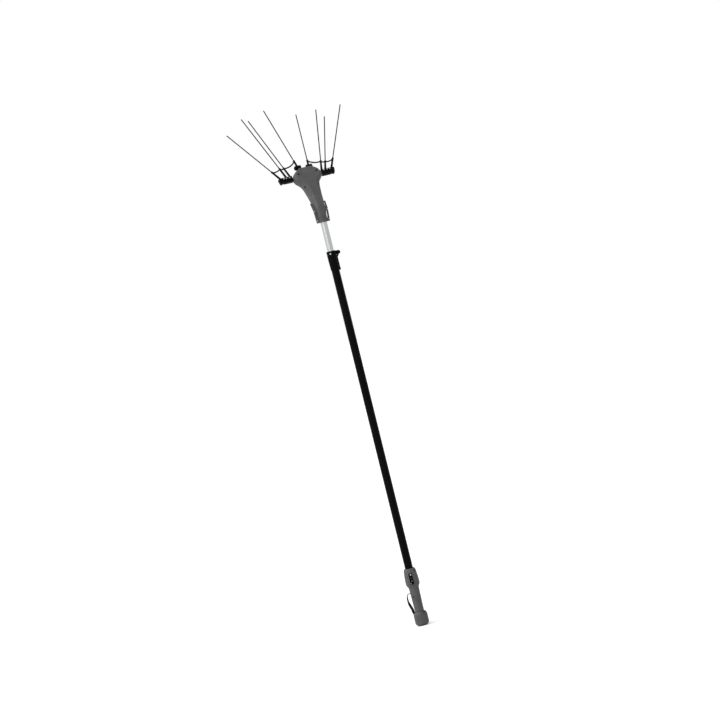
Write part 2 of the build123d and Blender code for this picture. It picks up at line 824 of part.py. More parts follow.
def bearing_webs():
    """The webs in the housing that hold the rake bearings and seals."""
    low = pivot_height - rake_bearing_radius - 3
    high = pivot_height + rake_bearing_radius + 3
    inner = block(inner_bearing, inner_bearing + rake_bearing_width, -60, 60, low, high)
    outer = block(outer_bearing, lobe_half_width + 5, -60, 60, low, high)
    axis = Pos(0, 0, pivot_height) * ACROSS
    webs = inner + outer
    webs -= axis * disc(rake_bearing_radius + fit_clearance, 0, seal_start)
    webs -= axis * disc(seal_radius + fit_clearance, seal_start - 1, lobe_half_width + 20)
    return both_sides(webs)


def rake_slot():
    """The slot in the crown that an inner rake arm swings in."""
    reach = crown_height * tan(radians(swing)) + arm_half_depth + 1.2
    crown = block(arm_inner - 1.5, arm_outer + 1.5, -reach, reach,
                  pivot_height + rake_bearing_radius + 4, pivot_height + 80)
    exit_hole = disc(seal_radius + fit_clearance, seal_start, lobe_half_width + 20)
    return crown + Pos(0, 0, pivot_height) * ACROSS * exit_hole


def head_screws():
    """The screws that hold the housing halves together."""
    return group([front_screw(x, z, front, head_screw_tip, head_radius)
                  for x, z, front, head_radius in head_screw_places()])


def neck_bolt_places():
    """Where the bolts stand in the flanges of the neck, pointing to the front."""
    places = []
    for rise in neck_bolt_rises:
        height = rise - neck_length
        reach = flange_half(height) - neck_bolt_edge
        places += [NECK * Pos(x, 0, height) * FORWARD for x in (-reach, reach)]
    return places


def neck_bolts():
    """The bolts through the neck flanges, with their nuts."""
    shank = disc(neck_bolt_radius, -flange_depth - 3.6, flange_depth)
    head = disc(neck_bolt_head, flange_depth, flange_depth + 2.8)
    bolt = shank + fillet(head.edges().group_by(Axis.Z)[-1], 1.2)
    nut = extrude(Pos(0, 0, -flange_depth - 3.0) * RegularPolygon(4.0, 6), 3.0)
    nut -= disc(neck_bolt_radius + press_clearance, -40, 40)
    return group([place * piece for place in neck_bolt_places() for piece in (bolt, nut)])


# Motor and gears, on the head's own axis

def motor_can():
    """The motor's steel can, closed at the gear end."""
    can = disc(motor_radius, motor_bottom, motor_top)
    can -= disc(motor_radius - can_wall, motor_bottom - 1, motor_top - 3)
    return can - disc(motor_shaft_radius + fit_clearance, motor_bottom, motor_top + 1)


def motor_end_bell():
    """The plastic end of the motor that holds the brushes."""
    bell = disc(motor_radius - 1, motor_bottom - end_bell_height, motor_bottom)
    bell -= disc(bell_bore, motor_bottom - end_bell_height + end_bell_wall, motor_bottom + 1)
    bell -= disc(motor_shaft_radius + fit_clearance, motor_bottom - 40, motor_bottom)
    return bell


def motor_magnets():
    """The two magnets in the can."""
    outer = motor_radius - can_wall - fit_clearance
    shell = ring(outer, outer - magnet_thickness, motor_bottom + 8, motor_top - 12)
    cut = block(-5, 5, -60, 60, motor_bottom, motor_top)
    return group([shell - cut])


def motor_brushes():
    """The two carbon brushes on the commutator."""
    low = motor_bottom - 8
    brush = block(commutator_radius + 0.1, bell_bore - 0.4, -2.5, 2.5, low, low + 6)
    return group([brush, mirror(brush, Plane.YZ)])


def armature():
    """The motor's shaft with its slotted core and commutator."""
    core_radius = motor_radius - can_wall - magnet_thickness - 1.0
    shaft = disc(motor_shaft_radius, motor_bottom - end_bell_height + 0.5, gear_top)
    core = disc(core_radius, motor_bottom + 10, motor_top - 14)
    slot = block(core_radius - 4, core_radius + 2, -1.2, 1.2, motor_bottom, motor_top)
    core -= [Rot(0, 0, 360 * place / core_slots) * slot for place in range(core_slots)]
    return shaft + core + disc(commutator_radius, motor_bottom - 9, motor_bottom + 5)


def tooth_half_angle(teeth, radius, play):
    """Half a tooth's width at a radius, as an angle on an involute gear."""
    pitch_radius = gear_module * teeth / 2
    base_radius = pitch_radius * cos(radians(pressure_angle))
    slope = acos(min(1.0, base_radius / max(radius, base_radius)))
    at_pitch = radians(pressure_angle)
    roll = tan(at_pitch) - at_pitch - tan(slope) + slope
    return pi / (2 * teeth) - play / (2 * pitch_radius) + roll


def gear_face(teeth, root, tip, play, first_tooth):
    """The outline of a gear, tooth by tooth, from root radius to tip radius."""
    steps = 4
    points = []
    for tooth in range(teeth):
        middle = first_tooth + 2 * pi * tooth / teeth
        radii = [root + (tip - root) * step / steps for step in range(steps + 1)]
        for radius in radii:
            angle = middle - tooth_half_angle(teeth, radius, play)
            points.append((radius * cos(angle), radius * sin(angle)))
        for radius in reversed(radii):
            angle = middle + tooth_half_angle(teeth, radius, play)
            points.append((radius * cos(angle), radius * sin(angle)))
    return Polygon(*points, align=None)


def toothed(teeth, low, high, first_tooth=0.0):
    """An outside gear between two heights."""
    pitch_radius = gear_module * teeth / 2
    root = pitch_radius - 1.15 * gear_module
    tip = pitch_radius + 0.85 * gear_module
    face = gear_face(teeth, root, tip, tooth_play, first_tooth)
    return extrude(Pos(0, 0, low) * face, high - low)


def sun_gear():
    """The pinion on the motor shaft."""
    gear = toothed(sun_teeth, motor_top + 3, gear_top)
    return gear - disc(motor_shaft_radius + press_clearance, motor_top, carrier_top)


def planet_place(number):
    """The place of one planet's axle."""
    return Rot(0, 0, 360 * number / planet_count) * Pos(gear_centres, 0, 0)


def planet_gear(number):
    """One planet wheel, with a gap between teeth facing the pinion."""
    gear = toothed(planet_teeth, motor_top + 4, gear_top - 0.5, pi / planet_teeth)
    gear -= disc(planet_pin_radius + fit_clearance, motor_top, carrier_top)
    centre = Vector(gear_centres, 0, 0).rotate(Axis.Z, 360 * number / planet_count)
    return Pos(centre.X, centre.Y, 0) * gear


def ring_gear():
    """The fixed ring with inside teeth, stood on the motor's face."""
    pitch_radius = gear_module * ring_teeth / 2
    tip = pitch_radius - 0.85 * gear_module
    root = pitch_radius + 1.15 * gear_module
    space = gear_face(ring_teeth, tip, root, -tooth_play, pi / ring_teeth)
    body = disc(ring_gear_radius, motor_top, ring_top)
    body -= extrude(Pos(0, 0, motor_top - 1) * space, ring_top - motor_top + 2)
    return body - disc(root + 0.3, gear_top - 0.2, ring_top + 1)


def planet_pins():
    """The axles of the planets, pressed into the carrier."""
    return group([planet_place(number) * disc(planet_pin_radius, motor_top + 3.5, carrier_top)
                  for number in range(planet_count)])


def cam_place(throw, turn):
    """The centre of one eccentric."""
    return Rot(0, 0, turn) * Pos(throw, 0, 0)


def cam_shaft():
    """The planet carrier with the two opposed eccentrics above it."""
    half = cam_disc_height / 2
    body = disc(gear_centres + planet_pin_radius + 3.4, carrier_top - carrier_thickness, carrier_top)
    body += disc(journal_radius, carrier_top, lower_cam - half)
    body += cam_place(lower_throw, cam_angle) * disc(cam_disc_radius, lower_cam - half, lower_cam + half)
    body += disc(cam_disc_radius - lower_throw - 0.5, lower_cam, upper_cam)
    upper = disc(cam_disc_radius, upper_cam - half, upper_cam + half)
    body += cam_place(upper_throw, cam_angle + 180) * upper
    for number in range(planet_count):
        body -= planet_place(number) * disc(planet_pin_radius + press_clearance, motor_top, carrier_top + 1)
    return body


def cam_bearings():
    """The needle rings on the two eccentrics."""
    half = cam_bearing_width / 2
    needle_ring = ring(cam_bearing_radius, cam_disc_radius + press_clearance, -half, half)
    low = Pos(0, 0, lower_cam) * cam_place(lower_throw, cam_angle) * needle_ring
    high = Pos(0, 0, upper_cam) * cam_place(upper_throw, cam_angle + 180) * needle_ring
    return group([low, high])


def gear_plate():
    """The plate over the gears that holds the output bearing."""
    return ring(ring_gear_radius, output_bearing_radius + press_clearance, ring_top, plate_top)


def output_bearing():
    """The ball bearing that carries the cam shaft."""
    return ring(output_bearing_radius, journal_radius + fit_clearance, ring_top + 0.2, plate_top)


def rake_bearings():
    """The four ball bearings of the two rake shafts."""
    bore = rake_shaft_radius + fit_clearance
    bearing = ACROSS * ring(rake_bearing_radius, bore, 0, rake_bearing_width)
    pieces = [Pos(start, 0, pivot_height) * bearing for start in (inner_bearing, outer_bearing)]
    return group(pieces + [mirror(piece, Plane.YZ) for piece in pieces])


def shaft_seals():
    """The lip seals where the rake shafts leave the housing."""
    seal = ring(seal_radius, rake_shaft_radius + fit_clearance, seal_start + 0.1, seal_start + seal_width)
    seal = Pos(0, 0, pivot_height) * ACROSS * seal
    return group([seal, mirror(seal, Plane.YZ)])


def motor_lead():
    """The supply lead in the inner tube, from the coil up to the motor."""
    foot = Vector(0, 0, inner_tube_bottom - bush_lip + 1)
    bend = Vector(0, 0, bend_point)
    top = (HEAD * Pos(0, 0, motor_bottom - end_bell_height)).position
    path = FilletPolyline(foot, bend, top, radius=20)
    return sweep(Plane(foot, z_dir=(0, 0, 1)) * Circle(lead_radius), path)


# Rakes, each in its own frame: origin on the shaft's axis, +Z up the rake

def rake_frame(side):
    """The rest place of one rake: the right one swung back, the left one forward."""
    return HEAD * Pos(0, 0, pivot_height) * Rot(-side * rest_swing, 0, 0)


def tines(side):
    """Root point and direction of each tine's socket, from the outermost in."""
    leans = right_tine_leans if side > 0 else left_tine_leans
    found = []
    for place, (x, fan) in enumerate(outer_tines + (inner_tine,)):
        run = Vector(side * tan(radians(fan)), tan(radians(leans[place])), 1).normalized()
        height = bar_top if place < len(outer_tines) else crown_height + arm_head_height - 2
        found.append((Vector(side * x, 0, height), run))
    return found


def sleeve_end(side, place):
    """Where a tine leaves its sleeve."""
    root, run = tines(side)[place]
    length = sleeve_length if place < len(outer_tines) else inner_sleeve_length
    return root + run * length


def tine_root(side, place):
    """The buried end of a tine."""
    root, run = tines(side)[place]
    depth = 4.0 if place < len(outer_tines) else 12.0
    return root - run * depth


def sleeve(side, place):
    """One tapered socket for a tine."""
    root, run = tines(side)[place]
    start = root - run * 5
    return stick(start, sleeve_end(side, place), sleeve_radius + 0.4, sleeve_radius - 0.5)


def tine_bore(side, place):
    """The hole that a tine is glued in."""
    root, run = tines(side)[place]
    return stick(tine_root(side, place), root + run * 400, tine_radius + press_clearance)


def rake_bar(side):
    """The outboard bar with its three sockets."""
    low = -bar_below
    outline = Polygon((bar_inner, low), (bar_inner + 41, low + 0.5), (bar_outer - 18, low + 2.5),
                      (bar_outer - 10, low - 1), (bar_outer - 5, low + 0.5), (bar_outer, bar_top - 4),
                      (bar_outer - 4, bar_top), (bar_inner, bar_top), align=None)
    outline = fillet(outline.vertices(), 2.5)
    body = extrude(Plane.XZ * outline, bar_depth / 2, both=True)
    body = fillet(body.edges().filter_by(Axis.Y, reverse=True), 2.2)
    if side < 0:
        body = mirror(body, Plane.YZ)
    for place in range(len(outer_tines)):
        body += sleeve(side, place)
    for place in range(len(outer_tines)):
        body -= tine_bore(side, place)
    for x in bolt_places(side):
        body -= Pos(x, 0, bolt_height) * FORWARD * disc(bolt_radius + fit_clearance, -40, 40)
    shaft = ACROSS * disc(rake_shaft_radius + fit_clearance, 0, shaft_end)
    return body - (shaft if side > 0 else mirror(shaft, Plane.YZ))


def bolt_places(side):
    """Where the bar's bolts stand along it."""
    return tuple(side * (bar_inner + reach) for reach in bolt_reaches)


def rake_bolts(side):
    """The bolts and nuts that clamp the tines in the bar."""
    half = bar_depth / 2
    head = disc(3.4, half, half + 2.4)
    bolt = fillet(head.edges().group_by(Axis.Z)[-1], 1.0) + disc(bolt_radius, -half, half)
    bolt += extrude(Pos(0, 0, -half - 2.4) * RegularPolygon(3.6, 6), 2.4)
    return group([Pos(x, 0, bolt_height) * FORWARD * bolt for x in bolt_places(side)])


def inner_arm(side):
    """The arm on the shaft that carries the inner tine out through the crown."""
    hub = ACROSS * disc(arm_hub_radius, arm_inner, arm_outer)
    stem = block(arm_inner, arm_outer, -arm_half_depth, arm_half_depth, 6, crown_height + 8)
    head_bottom = crown_height + 3
    head = block(arm_inner - 7, arm_outer + 7, -11, 11, head_bottom, head_bottom + arm_head_height)
    head = fillet(head.edges(), 4.0)
    body = hub + stem + head
    body -= ACROSS * disc(rake_shaft_radius + press_clearance, 0, 100)
    if side < 0:
        body = mirror(body, Plane.YZ)
    place = len(outer_tines)
    return body + sleeve(side, place) - tine_bore(side, place)


def rake_fork(side):
    """The fork that one eccentric swings."""
    arm = right_fork_arm if side > 0 else left_fork_arm
    near = cam_bearing_radius + fork_clearance
    far = near + fork_wall
    hub = ACROSS * disc(fork_hub_radius, fork_inner, fork_outer)
    bridge = block(fork_inner, fork_outer, -far, far, -18, -6)
    leg = block(fork_inner, fork_outer, near, far, -arm - fork_prong / 2, -12)
    prong = block(-9, fork_outer, near, far, -arm - fork_prong / 2, -arm + fork_prong / 2)
    tongue = leg + prong
    body = hub + bridge + tongue + mirror(tongue, Plane.XZ)
    body -= ACROSS * disc(rake_shaft_radius + press_clearance, 0, 100)
    return body if side > 0 else mirror(body, Plane.YZ)


def rake_shaft(side):
    """The steel shaft that one rake turns on."""
    shaft = ACROSS * disc(rake_shaft_radius, inner_bearing - 0.5, shaft_end)
    return shaft if side > 0 else mirror(shaft, Plane.YZ)


def rake_tines(side):
    """The four carbon rods of one rake."""
    rods = []
    for place in range(len(outer_tines) + 1):
        run = tines(side)[place][1]
        tip = sleeve_end(side, place) + run * tine_length
        rod = stick(tine_root(side, place), tip, tine_radius)
        rods.append(fillet(rod.edges().sort_by(Axis.Z)[-1], tine_tip_rounding))
    return group(rods)


def tine_spacer(side):
    """The scalloped strip that keeps the four tines apart, on the ends of the sleeves."""
    centres = []
    body = None
    for place in range(len(outer_tines) + 1):
        run = tines(side)[place][1]
        start = sleeve_end(side, place) + run * 0.3
        centres.append(start + run * spacer_height / 2)
        eye = stick(start, start + run * spacer_height, sleeve_radius)
        body = eye if body is None else body + eye
    for first, second in zip(centres, centres[1:]):
        middle = (first + second) / 2 - Vector(0, 0, spacer_sag * (second - first).length)
        path = ThreePointArc(first, middle, second)
        body += sweep(Plane(first, z_dir=path % 0) * Circle(spacer_radius), path)
    for place in range(len(outer_tines) + 1):
        root, run = tines(side)[place]
        body -= stick(root, sleeve_end(side, place) + run * 0.2, sleeve_radius + running_clearance)
        body -= tine_bore(side, place)
    return body


def rake_nodes(side, name):
    """Every piece of one rake, by node name."""
    frame = rake_frame(side)
    return {
        f"{name}_rake_shaft": frame * rake_shaft(side),
        f"{name}_rake_fork": frame * rake_fork(side),
        f"{name}_inner_arm": frame * inner_arm(side),
        f"{name}_rake_bar": frame * rake_bar(side),
        f"{name}_rake_bolts": frame * rake_bolts(side),
        f"{name}_tines": frame * rake_tines(side),
        f"{name}_tine_spacer": frame * tine_spacer(side),
    }


def handle_nodes():
    """Every piece of the handle, by node name, turned so far round the pole as the handle is."""
    front, rear = handle_shells()
    screws = [front_screw(x, z, handle_screw_depth(x), handle_screw_tip) for x, z in handle_screw_places()]
    nodes = {
        "handle_front_shell": front,
        "handle_rear_shell": rear,
        "handle_screws": group(screws),
        "switch_panel": switch_panel(),
        "switch_bezel": switch_bezel(),
        "switch_body": switch_body(),
        "rocker_switch": rocker_switch(),
        "mode_button": mode_button(),
        "indicator_lens": indicator_lens(),
        "butt_cap": butt(),
        "foot_pad": foot_pad(),
        "power_socket": power_socket(),
        "socket_contacts": socket_contacts(),
        "control_board": control_board(),
        "wrist_strap": wrist_strap(),
    }
    return {name: HANDLE * shape for name, shape in nodes.items()}


def pole_nodes():
    """Every piece of the lower pole and its clamp, by node name."""
    return {
        "outer_tube": outer_tube(),
        "coiled_lead": coiled_lead(),
        "clamp_collar": clamp_collar(),
        "collar_screws": collar_screws(),
        "brake_pad": brake_pad(),
        "clamp_lever": clamp_lever(),
        "hinge_pin": hinge_pin(),
    }


def head_nodes():
    """Every piece of the upper pole and the head, by node name."""
    front, rear = head_shells()
    nodes = {
        "head_front_shell": front,
        "head_rear_shell": rear,
        "head_screws": head_screws(),
        "neck_bolts": neck_bolts(),
        "motor_can": motor_can(),
        "motor_end_bell": motor_end_bell(),
        "motor_magnets": motor_magnets(),
        "motor_brushes": motor_brushes(),
        "armature": armature(),
        "sun_gear": sun_gear(),
        "ring_gear": ring_gear(),
        "planet_pins": planet_pins(),
        "cam_shaft": cam_shaft(),
        "cam_bearings": cam_bearings(),
        "gear_plate": gear_plate(),
        "output_bearing": output_bearing(),
        "rake_bearings": rake_bearings(),
        "shaft_seals": shaft_seals(),
    }
    for number in range(planet_count):
        nodes[f"planet_gear_{number + 1}"] = planet_gear(number)
    placed = {name: HEAD * shape for name, shape in nodes.items()}
    placed["inner_tube"] = inner_tube()
    placed["slide_bush"] = slide_bush()
    placed["motor_lead"] = motor_lead()
    return placed


os.makedirs("parts", exist_ok=True)
all_nodes = handle_nodes() | pole_nodes() | head_nodes()
all_nodes |= rake_nodes(-1, "left") | rake_nodes(1, "right")
for node_name, node_shape in all_nodes.items():
    export_step(node_shape, f"parts/{node_name}.step")
print(len(all_nodes), "nodes")
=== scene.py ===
import logging
import math
from dataclasses import dataclass, field
from enum import Enum
from typing import Any

import bpy
from mathutils import Matrix, Vector
from mathutils.geometry import interpolate_bezier


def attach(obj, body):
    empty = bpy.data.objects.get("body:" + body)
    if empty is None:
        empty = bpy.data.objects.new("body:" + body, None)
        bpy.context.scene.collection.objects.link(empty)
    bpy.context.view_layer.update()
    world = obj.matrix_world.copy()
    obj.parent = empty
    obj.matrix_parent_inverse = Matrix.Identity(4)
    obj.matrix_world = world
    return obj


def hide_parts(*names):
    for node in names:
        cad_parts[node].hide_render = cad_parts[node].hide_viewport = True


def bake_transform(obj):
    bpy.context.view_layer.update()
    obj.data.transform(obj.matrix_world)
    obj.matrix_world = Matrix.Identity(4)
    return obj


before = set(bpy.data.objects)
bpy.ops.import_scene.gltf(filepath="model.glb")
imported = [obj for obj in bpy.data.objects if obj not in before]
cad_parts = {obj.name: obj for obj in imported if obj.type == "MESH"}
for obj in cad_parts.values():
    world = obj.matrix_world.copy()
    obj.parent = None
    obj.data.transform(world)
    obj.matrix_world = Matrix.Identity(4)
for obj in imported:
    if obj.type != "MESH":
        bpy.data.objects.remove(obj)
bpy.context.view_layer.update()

# Electric olive harvester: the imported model's finishes, its strap, its switch's marks and its curly lead,
# and the studio round it.
# Metres in the model's own frame: +Z up the pole, the head leans to +Y, the foot stands on z = 0.
LOG = logging.getLogger("olive_harvester")
MM = 0.001
HANDLE_TURN_DEG = -20.0
SMOOTH_ANGLE = math.radians(35)
SAME_PLACE = 0.1 * MM
LEAST_TURN = 1e-6

# Where each pattern's middle range starts and ends, so that a finish shows both of its tones.
CLOUD_RANGE = (0.3, 0.7)
LINE_RANGE = (0.25, 0.75)
CELL_RANGE = (0.5, 1.1)
CELLS_A_CLOUD = 4
# The cosine between a face and its rounded edge where wear starts, and where it is full.
WEAR_STARTS = 0.985
WEAR_FULL = 0.86
# How the middle of each rake's fan of rods leans.
RODS_BACK_DEG = 33.0
RODS_OUT_DEG = 19.0


def linear(hex_code: str) -> tuple[float, float, float, float]:
    """Turns an sRGB hex colour into linear red, green, blue and alpha.

    Args:
        hex_code: Six hex digits, with or without a leading hash.

    Returns:
        The linear colour with an alpha of one.
    """
    digits = hex_code.lstrip("#")
    channels = []
    for start in (0, 2, 4):
        value = int(digits[start:start + 2], 16) / 255
        channels.append(value / 12.92 if value <= 0.04045 else ((value + 0.055) / 1.055) ** 2.4)
    return (channels[0], channels[1], channels[2], 1.0)


def per_metre(size_mm: float) -> float:
    """Gives a texture's scale for a feature of this size in millimetres."""
    return 1.0 / (size_mm * MM)


def add_node(tree: bpy.types.NodeTree, kind: str, inputs: dict[Any, Any] | None = None,
             **settings: Any) -> bpy.types.Node:
    """Adds one node with its settings, values and links.

    Args:
        tree: The node tree that the node goes into.
        kind: The node's type name.
        inputs: Values, or outputs to link, by the input's name or number.
        settings: Properties of the node itself.

    Returns:
        The new node.
    """
    node = tree.nodes.new(kind)
    for name, value in settings.items():
        setattr(node, name, value)
    for key, value in (inputs or {}).items():
        if isinstance(value, bpy.types.NodeSocket):
            tree.links.new(value, node.inputs[key])
        else:
            node.inputs[key].default_value = value
    return node


# Finishes

@dataclass(frozen=True)
class Finish:
    """A surface finish that makes its node material on first use."""

    name: str
    dark: str
    light: str
    roughness: float
    roughness_spread: float

    def fill(self, tree: bpy.types.NodeTree, shader: bpy.types.Node) -> None:
        """Adds this finish's own nodes and links them to the shader.

        Args:
            tree: The material's node tree.
            shader: The material's Principled node.
        """
        raise NotImplementedError

    def material(self) -> bpy.types.Material:
        """Makes the finish's material, or finds it.

        Returns:
            The material.
        """
        made = bpy.data.materials.get(self.name)
        if made is not None:
            return made
        made = bpy.data.materials.new(self.name)
        made.use_nodes = True
        tree = made.node_tree
        tree.nodes.clear()
        shader = add_node(tree, "ShaderNodeBsdfPrincipled")
        self.fill(tree, shader)
        add_node(tree, "ShaderNodeOutputMaterial", {"Surface": shader.outputs[0]})
        return made

    def tone(self, tree: bpy.types.NodeTree, shader: bpy.types.Node, share: bpy.types.NodeSocket,
             ) -> bpy.types.NodeSocket:
        """Spreads the two tones and the roughness over a pattern.

        Args:
            tree: The material's node tree.
            shader: The material's Principled node.
            share: The pattern, from 0 to 1.

        Returns:
            The mixed colour.
        """
        rough = add_node(tree, "ShaderNodeMapRange", {
            "Value": share,
            "To Min": self.roughness - self.roughness_spread,
            "To Max": self.roughness + self.roughness_spread,
        })
        tree.links.new(rough.outputs[0], shader.inputs["Roughness"])
        mixed = add_node(tree, "ShaderNodeMix", {
            0: share, 6: linear(self.dark), 7: linear(self.light),
        }, data_type="RGBA")
        return mixed.outputs[2]


@dataclass(frozen=True)
class Moulded(Finish):
    """Moulded plastic: a spark-eroded grain, faint flow clouds and paler rubbed edges."""

    rubbed: str
    grain_mm: float
    grain_depth_mm: float
    cloud_mm: float
    edge_mm: float
    edge_share: float
    ior: float = 1.53
    specular_level: float = 0.5

    def fill(self, tree: bpy.types.NodeTree, shader: bpy.types.Node) -> None:
        """Adds the clouds, the rubbed edges and the grain.

        Args:
            tree: The material's node tree.
            shader: The material's Principled node.
        """
        shader.inputs["IOR"].default_value = self.ior
        shader.inputs["Specular IOR Level"].default_value = self.specular_level
        place = add_node(tree, "ShaderNodeTexCoord").outputs["Object"]
        clouds = add_node(tree, "ShaderNodeTexNoise", {
            "Vector": place, "Scale": per_metre(self.cloud_mm), "Detail": 4.0, "Roughness": 0.6,
        })
        share = add_node(tree, "ShaderNodeMapRange", {
            "Value": clouds.outputs[0], "From Min": CLOUD_RANGE[0], "From Max": CLOUD_RANGE[1],
        })
        body = self.tone(tree, shader, share.outputs[0])
        rounded = add_node(tree, "ShaderNodeBevel", {"Radius": self.edge_mm * MM}, samples=4)
        face = add_node(tree, "ShaderNodeNewGeometry")
        turn = add_node(tree, "ShaderNodeVectorMath", {
            0: rounded.outputs[0], 1: face.outputs["Normal"],
        }, operation="DOT_PRODUCT")
        edge = add_node(tree, "ShaderNodeMapRange", {
            "Value": turn.outputs["Value"], "From Min": WEAR_STARTS, "From Max": WEAR_FULL,
            "To Max": self.edge_share,
        })
        colour = add_node(tree, "ShaderNodeMix", {
            0: edge.outputs[0], 6: body, 7: linear(self.rubbed),
        }, data_type="RGBA")
        tree.links.new(colour.outputs[2], shader.inputs["Base Color"])
        grain = add_node(tree, "ShaderNodeTexNoise", {
            "Vector": place, "Scale": per_metre(self.grain_mm), "Detail": 2.0,
        })
        bump = add_node(tree, "ShaderNodeBump", {
            "Strength": 1.0, "Distance": self.grain_depth_mm * MM,
            "Height": grain.outputs[0], "Normal": rounded.outputs[0],
        })
        tree.links.new(bump.outputs[0], shader.inputs["Normal"])


@dataclass(frozen=True)
class Streaked(Finish):
    """Metal or fibre with fine lines along one direction."""

    line_mm: float
    stretch: float
    line_depth_mm: float
    metallic: float
    lean_back_deg: float = 0.0
    lean_out_deg: float = 0.0
    specular_level: float = 0.5

    def fill(self, tree: bpy.types.NodeTree, shader: bpy.types.Node) -> None:
        """Adds the lines, turned to run along the piece.

        Args:
            tree: The material's node tree.
            shader: The material's Principled node.
        """
        shader.inputs["Metallic"].default_value = self.metallic
        shader.inputs["Specular IOR Level"].default_value = self.specular_level
        place = add_node(tree, "ShaderNodeTexCoord").outputs["Object"]
        along = add_node(tree, "ShaderNodeMapping", {
            "Vector": place,
            "Rotation": (math.radians(-self.lean_back_deg), math.radians(self.lean_out_deg), 0.0),
            "Scale": (1.0, 1.0, self.stretch),
        }, vector_type="TEXTURE")
        lines = add_node(tree, "ShaderNodeTexNoise", {
            "Vector": along.outputs[0], "Scale": per_metre(self.line_mm), "Detail": 3.0, "Roughness": 0.65,
        })
        share = add_node(tree, "ShaderNodeMapRange", {
            "Value": lines.outputs[0], "From Min": LINE_RANGE[0], "From Max": LINE_RANGE[1],
        })
        tree.links.new(self.tone(tree, shader, share.outputs[0]), shader.inputs["Base Color"])
        bump = add_node(tree, "ShaderNodeBump", {
            "Strength": 1.0, "Distance": self.line_depth_mm * MM, "Height": lines.outputs[0],
        })
        tree.links.new(bump.outputs[0], shader.inputs["Normal"])


@dataclass(frozen=True)
class Grained(Finish):
    """A cast, plated or pressed surface with cells of slightly different tone."""

    cell_mm: float
    cell_depth_mm: float
    metallic: float = 0.0
    specular_level: float = 0.5
    transmission: float = 0.0
    ior: float = 1.5

    def fill(self, tree: bpy.types.NodeTree, shader: bpy.types.Node) -> None:
        """Adds the cells and their relief.

        Args:
            tree: The material's node tree.
            shader: The material's Principled node.
        """
        shader.inputs["Metallic"].default_value = self.metallic
        shader.inputs["Specular IOR Level"].default_value = self.specular_level
        shader.inputs["Transmission Weight"].default_value = self.transmission
        shader.inputs["IOR"].default_value = self.ior
        place = add_node(tree, "ShaderNodeTexCoord").outputs["Object"]
        cells = add_node(tree, "ShaderNodeTexVoronoi", {
            "Vector": place, "Scale": per_metre(self.cell_mm),
        }, feature="SMOOTH_F1")
        clouds = add_node(tree, "ShaderNodeTexNoise", {
            "Vector": place, "Scale": per_metre(CELLS_A_CLOUD * self.cell_mm), "Detail": 3.0,
        })
        both = add_node(tree, "ShaderNodeMath", {
            0: cells.outputs["Distance"], 1: clouds.outputs[0],
        }, operation="ADD")
        share = add_node(tree, "ShaderNodeMapRange", {
            "Value": both.outputs[0], "From Min": CELL_RANGE[0], "From Max": CELL_RANGE[1],
        })
        tree.links.new(self.tone(tree, shader, share.outputs[0]), shader.inputs["Base Color"])
        bump = add_node(tree, "ShaderNodeBump", {
            "Strength": 1.0, "Distance": self.cell_depth_mm * MM, "Height": cells.outputs["Distance"],
        })
        tree.links.new(bump.outputs[0], shader.inputs["Normal"])


@dataclass(frozen=True)
class Woven(Finish):
    """Flat webbing: ribs of yarn along the band, crossed by the weft, on the band's own UV map."""

    yarn_mm: float
    weft_mm: float
    yarn_depth_mm: float
    sheen: float
    specular_level: float
    sheen_roughness: float = 0.5
    fibre_mm: float = 0.3
    fibre_share: float = 0.35

    def fill(self, tree: bpy.types.NodeTree, shader: bpy.types.Node) -> None:
        """Adds the two sets of yarns and the loose fibre.

        Args:
            tree: The material's node tree.
            shader: The material's Principled node.
        """
        shader.inputs["Specular IOR Level"].default_value = self.specular_level
        shader.inputs["Sheen Weight"].default_value = self.sheen
        shader.inputs["Sheen Roughness"].default_value = self.sheen_roughness
        place = add_node(tree, "ShaderNodeUVMap", uv_map="band").outputs[0]
        axes = add_node(tree, "ShaderNodeSeparateXYZ", {0: place})
        waves = []
        for axis, pitch in (("X", self.yarn_mm), ("Y", self.weft_mm)):
            angle = add_node(tree, "ShaderNodeMath", {
                0: axes.outputs[axis], 1: 2 * math.pi * per_metre(pitch),
            }, operation="MULTIPLY")
            wave = add_node(tree, "ShaderNodeMath", {0: angle.outputs[0]}, operation="SINE")
            waves.append(wave.outputs[0])
        over = add_node(tree, "ShaderNodeMath", {0: waves[0], 1: waves[1]}, operation="MULTIPLY")
        share = add_node(tree, "ShaderNodeMapRange", {"Value": over.outputs[0], "From Min": -1.0})
        fibre = add_node(tree, "ShaderNodeTexNoise", {
            "Vector": place, "Scale": per_metre(self.fibre_mm), "Detail": 2.0,
        })
        height = add_node(tree, "ShaderNodeMath", {
            0: fibre.outputs[0], 1: self.fibre_share, 2: share.outputs[0],
        }, operation="MULTIPLY_ADD")
        tree.links.new(self.tone(tree, shader, share.outputs[0]), shader.inputs["Base Color"])
        bump = add_node(tree, "ShaderNodeBump", {
            "Strength": 1.0, "Distance": self.yarn_depth_mm * MM, "Height": height.outputs[0],
        })
        tree.links.new(bump.outputs[0], shader.inputs["Normal"])


# Glass-filled nylon, moulded in a spark-eroded tool: an even dull grey with a soft sheen on the curves.
# Its grain is drawn at 1.6 mm, about four times the real one, so that it shows.
GREY_MOULDED_NYLON = Moulded("grey_moulded_nylon", "#464646", "#575757", 0.55, 0.07,
                             rubbed="#8a8a88", grain_mm=1.6, grain_depth_mm=0.32, cloud_mm=45.0,
                             edge_mm=1.2, edge_share=0.7, specular_level=0.3)
# Unfilled nylon, moulded in a finer tool: satin black that greys a little along its edges.
BLACK_MOULDED_NYLON = Moulded("black_moulded_nylon", "#040404", "#090909", 0.46, 0.05,
                              rubbed="#242424", grain_mm=1.2, grain_depth_mm=0.18, cloud_mm=30.0,
                              edge_mm=0.8, edge_share=0.6, specular_level=0.035)
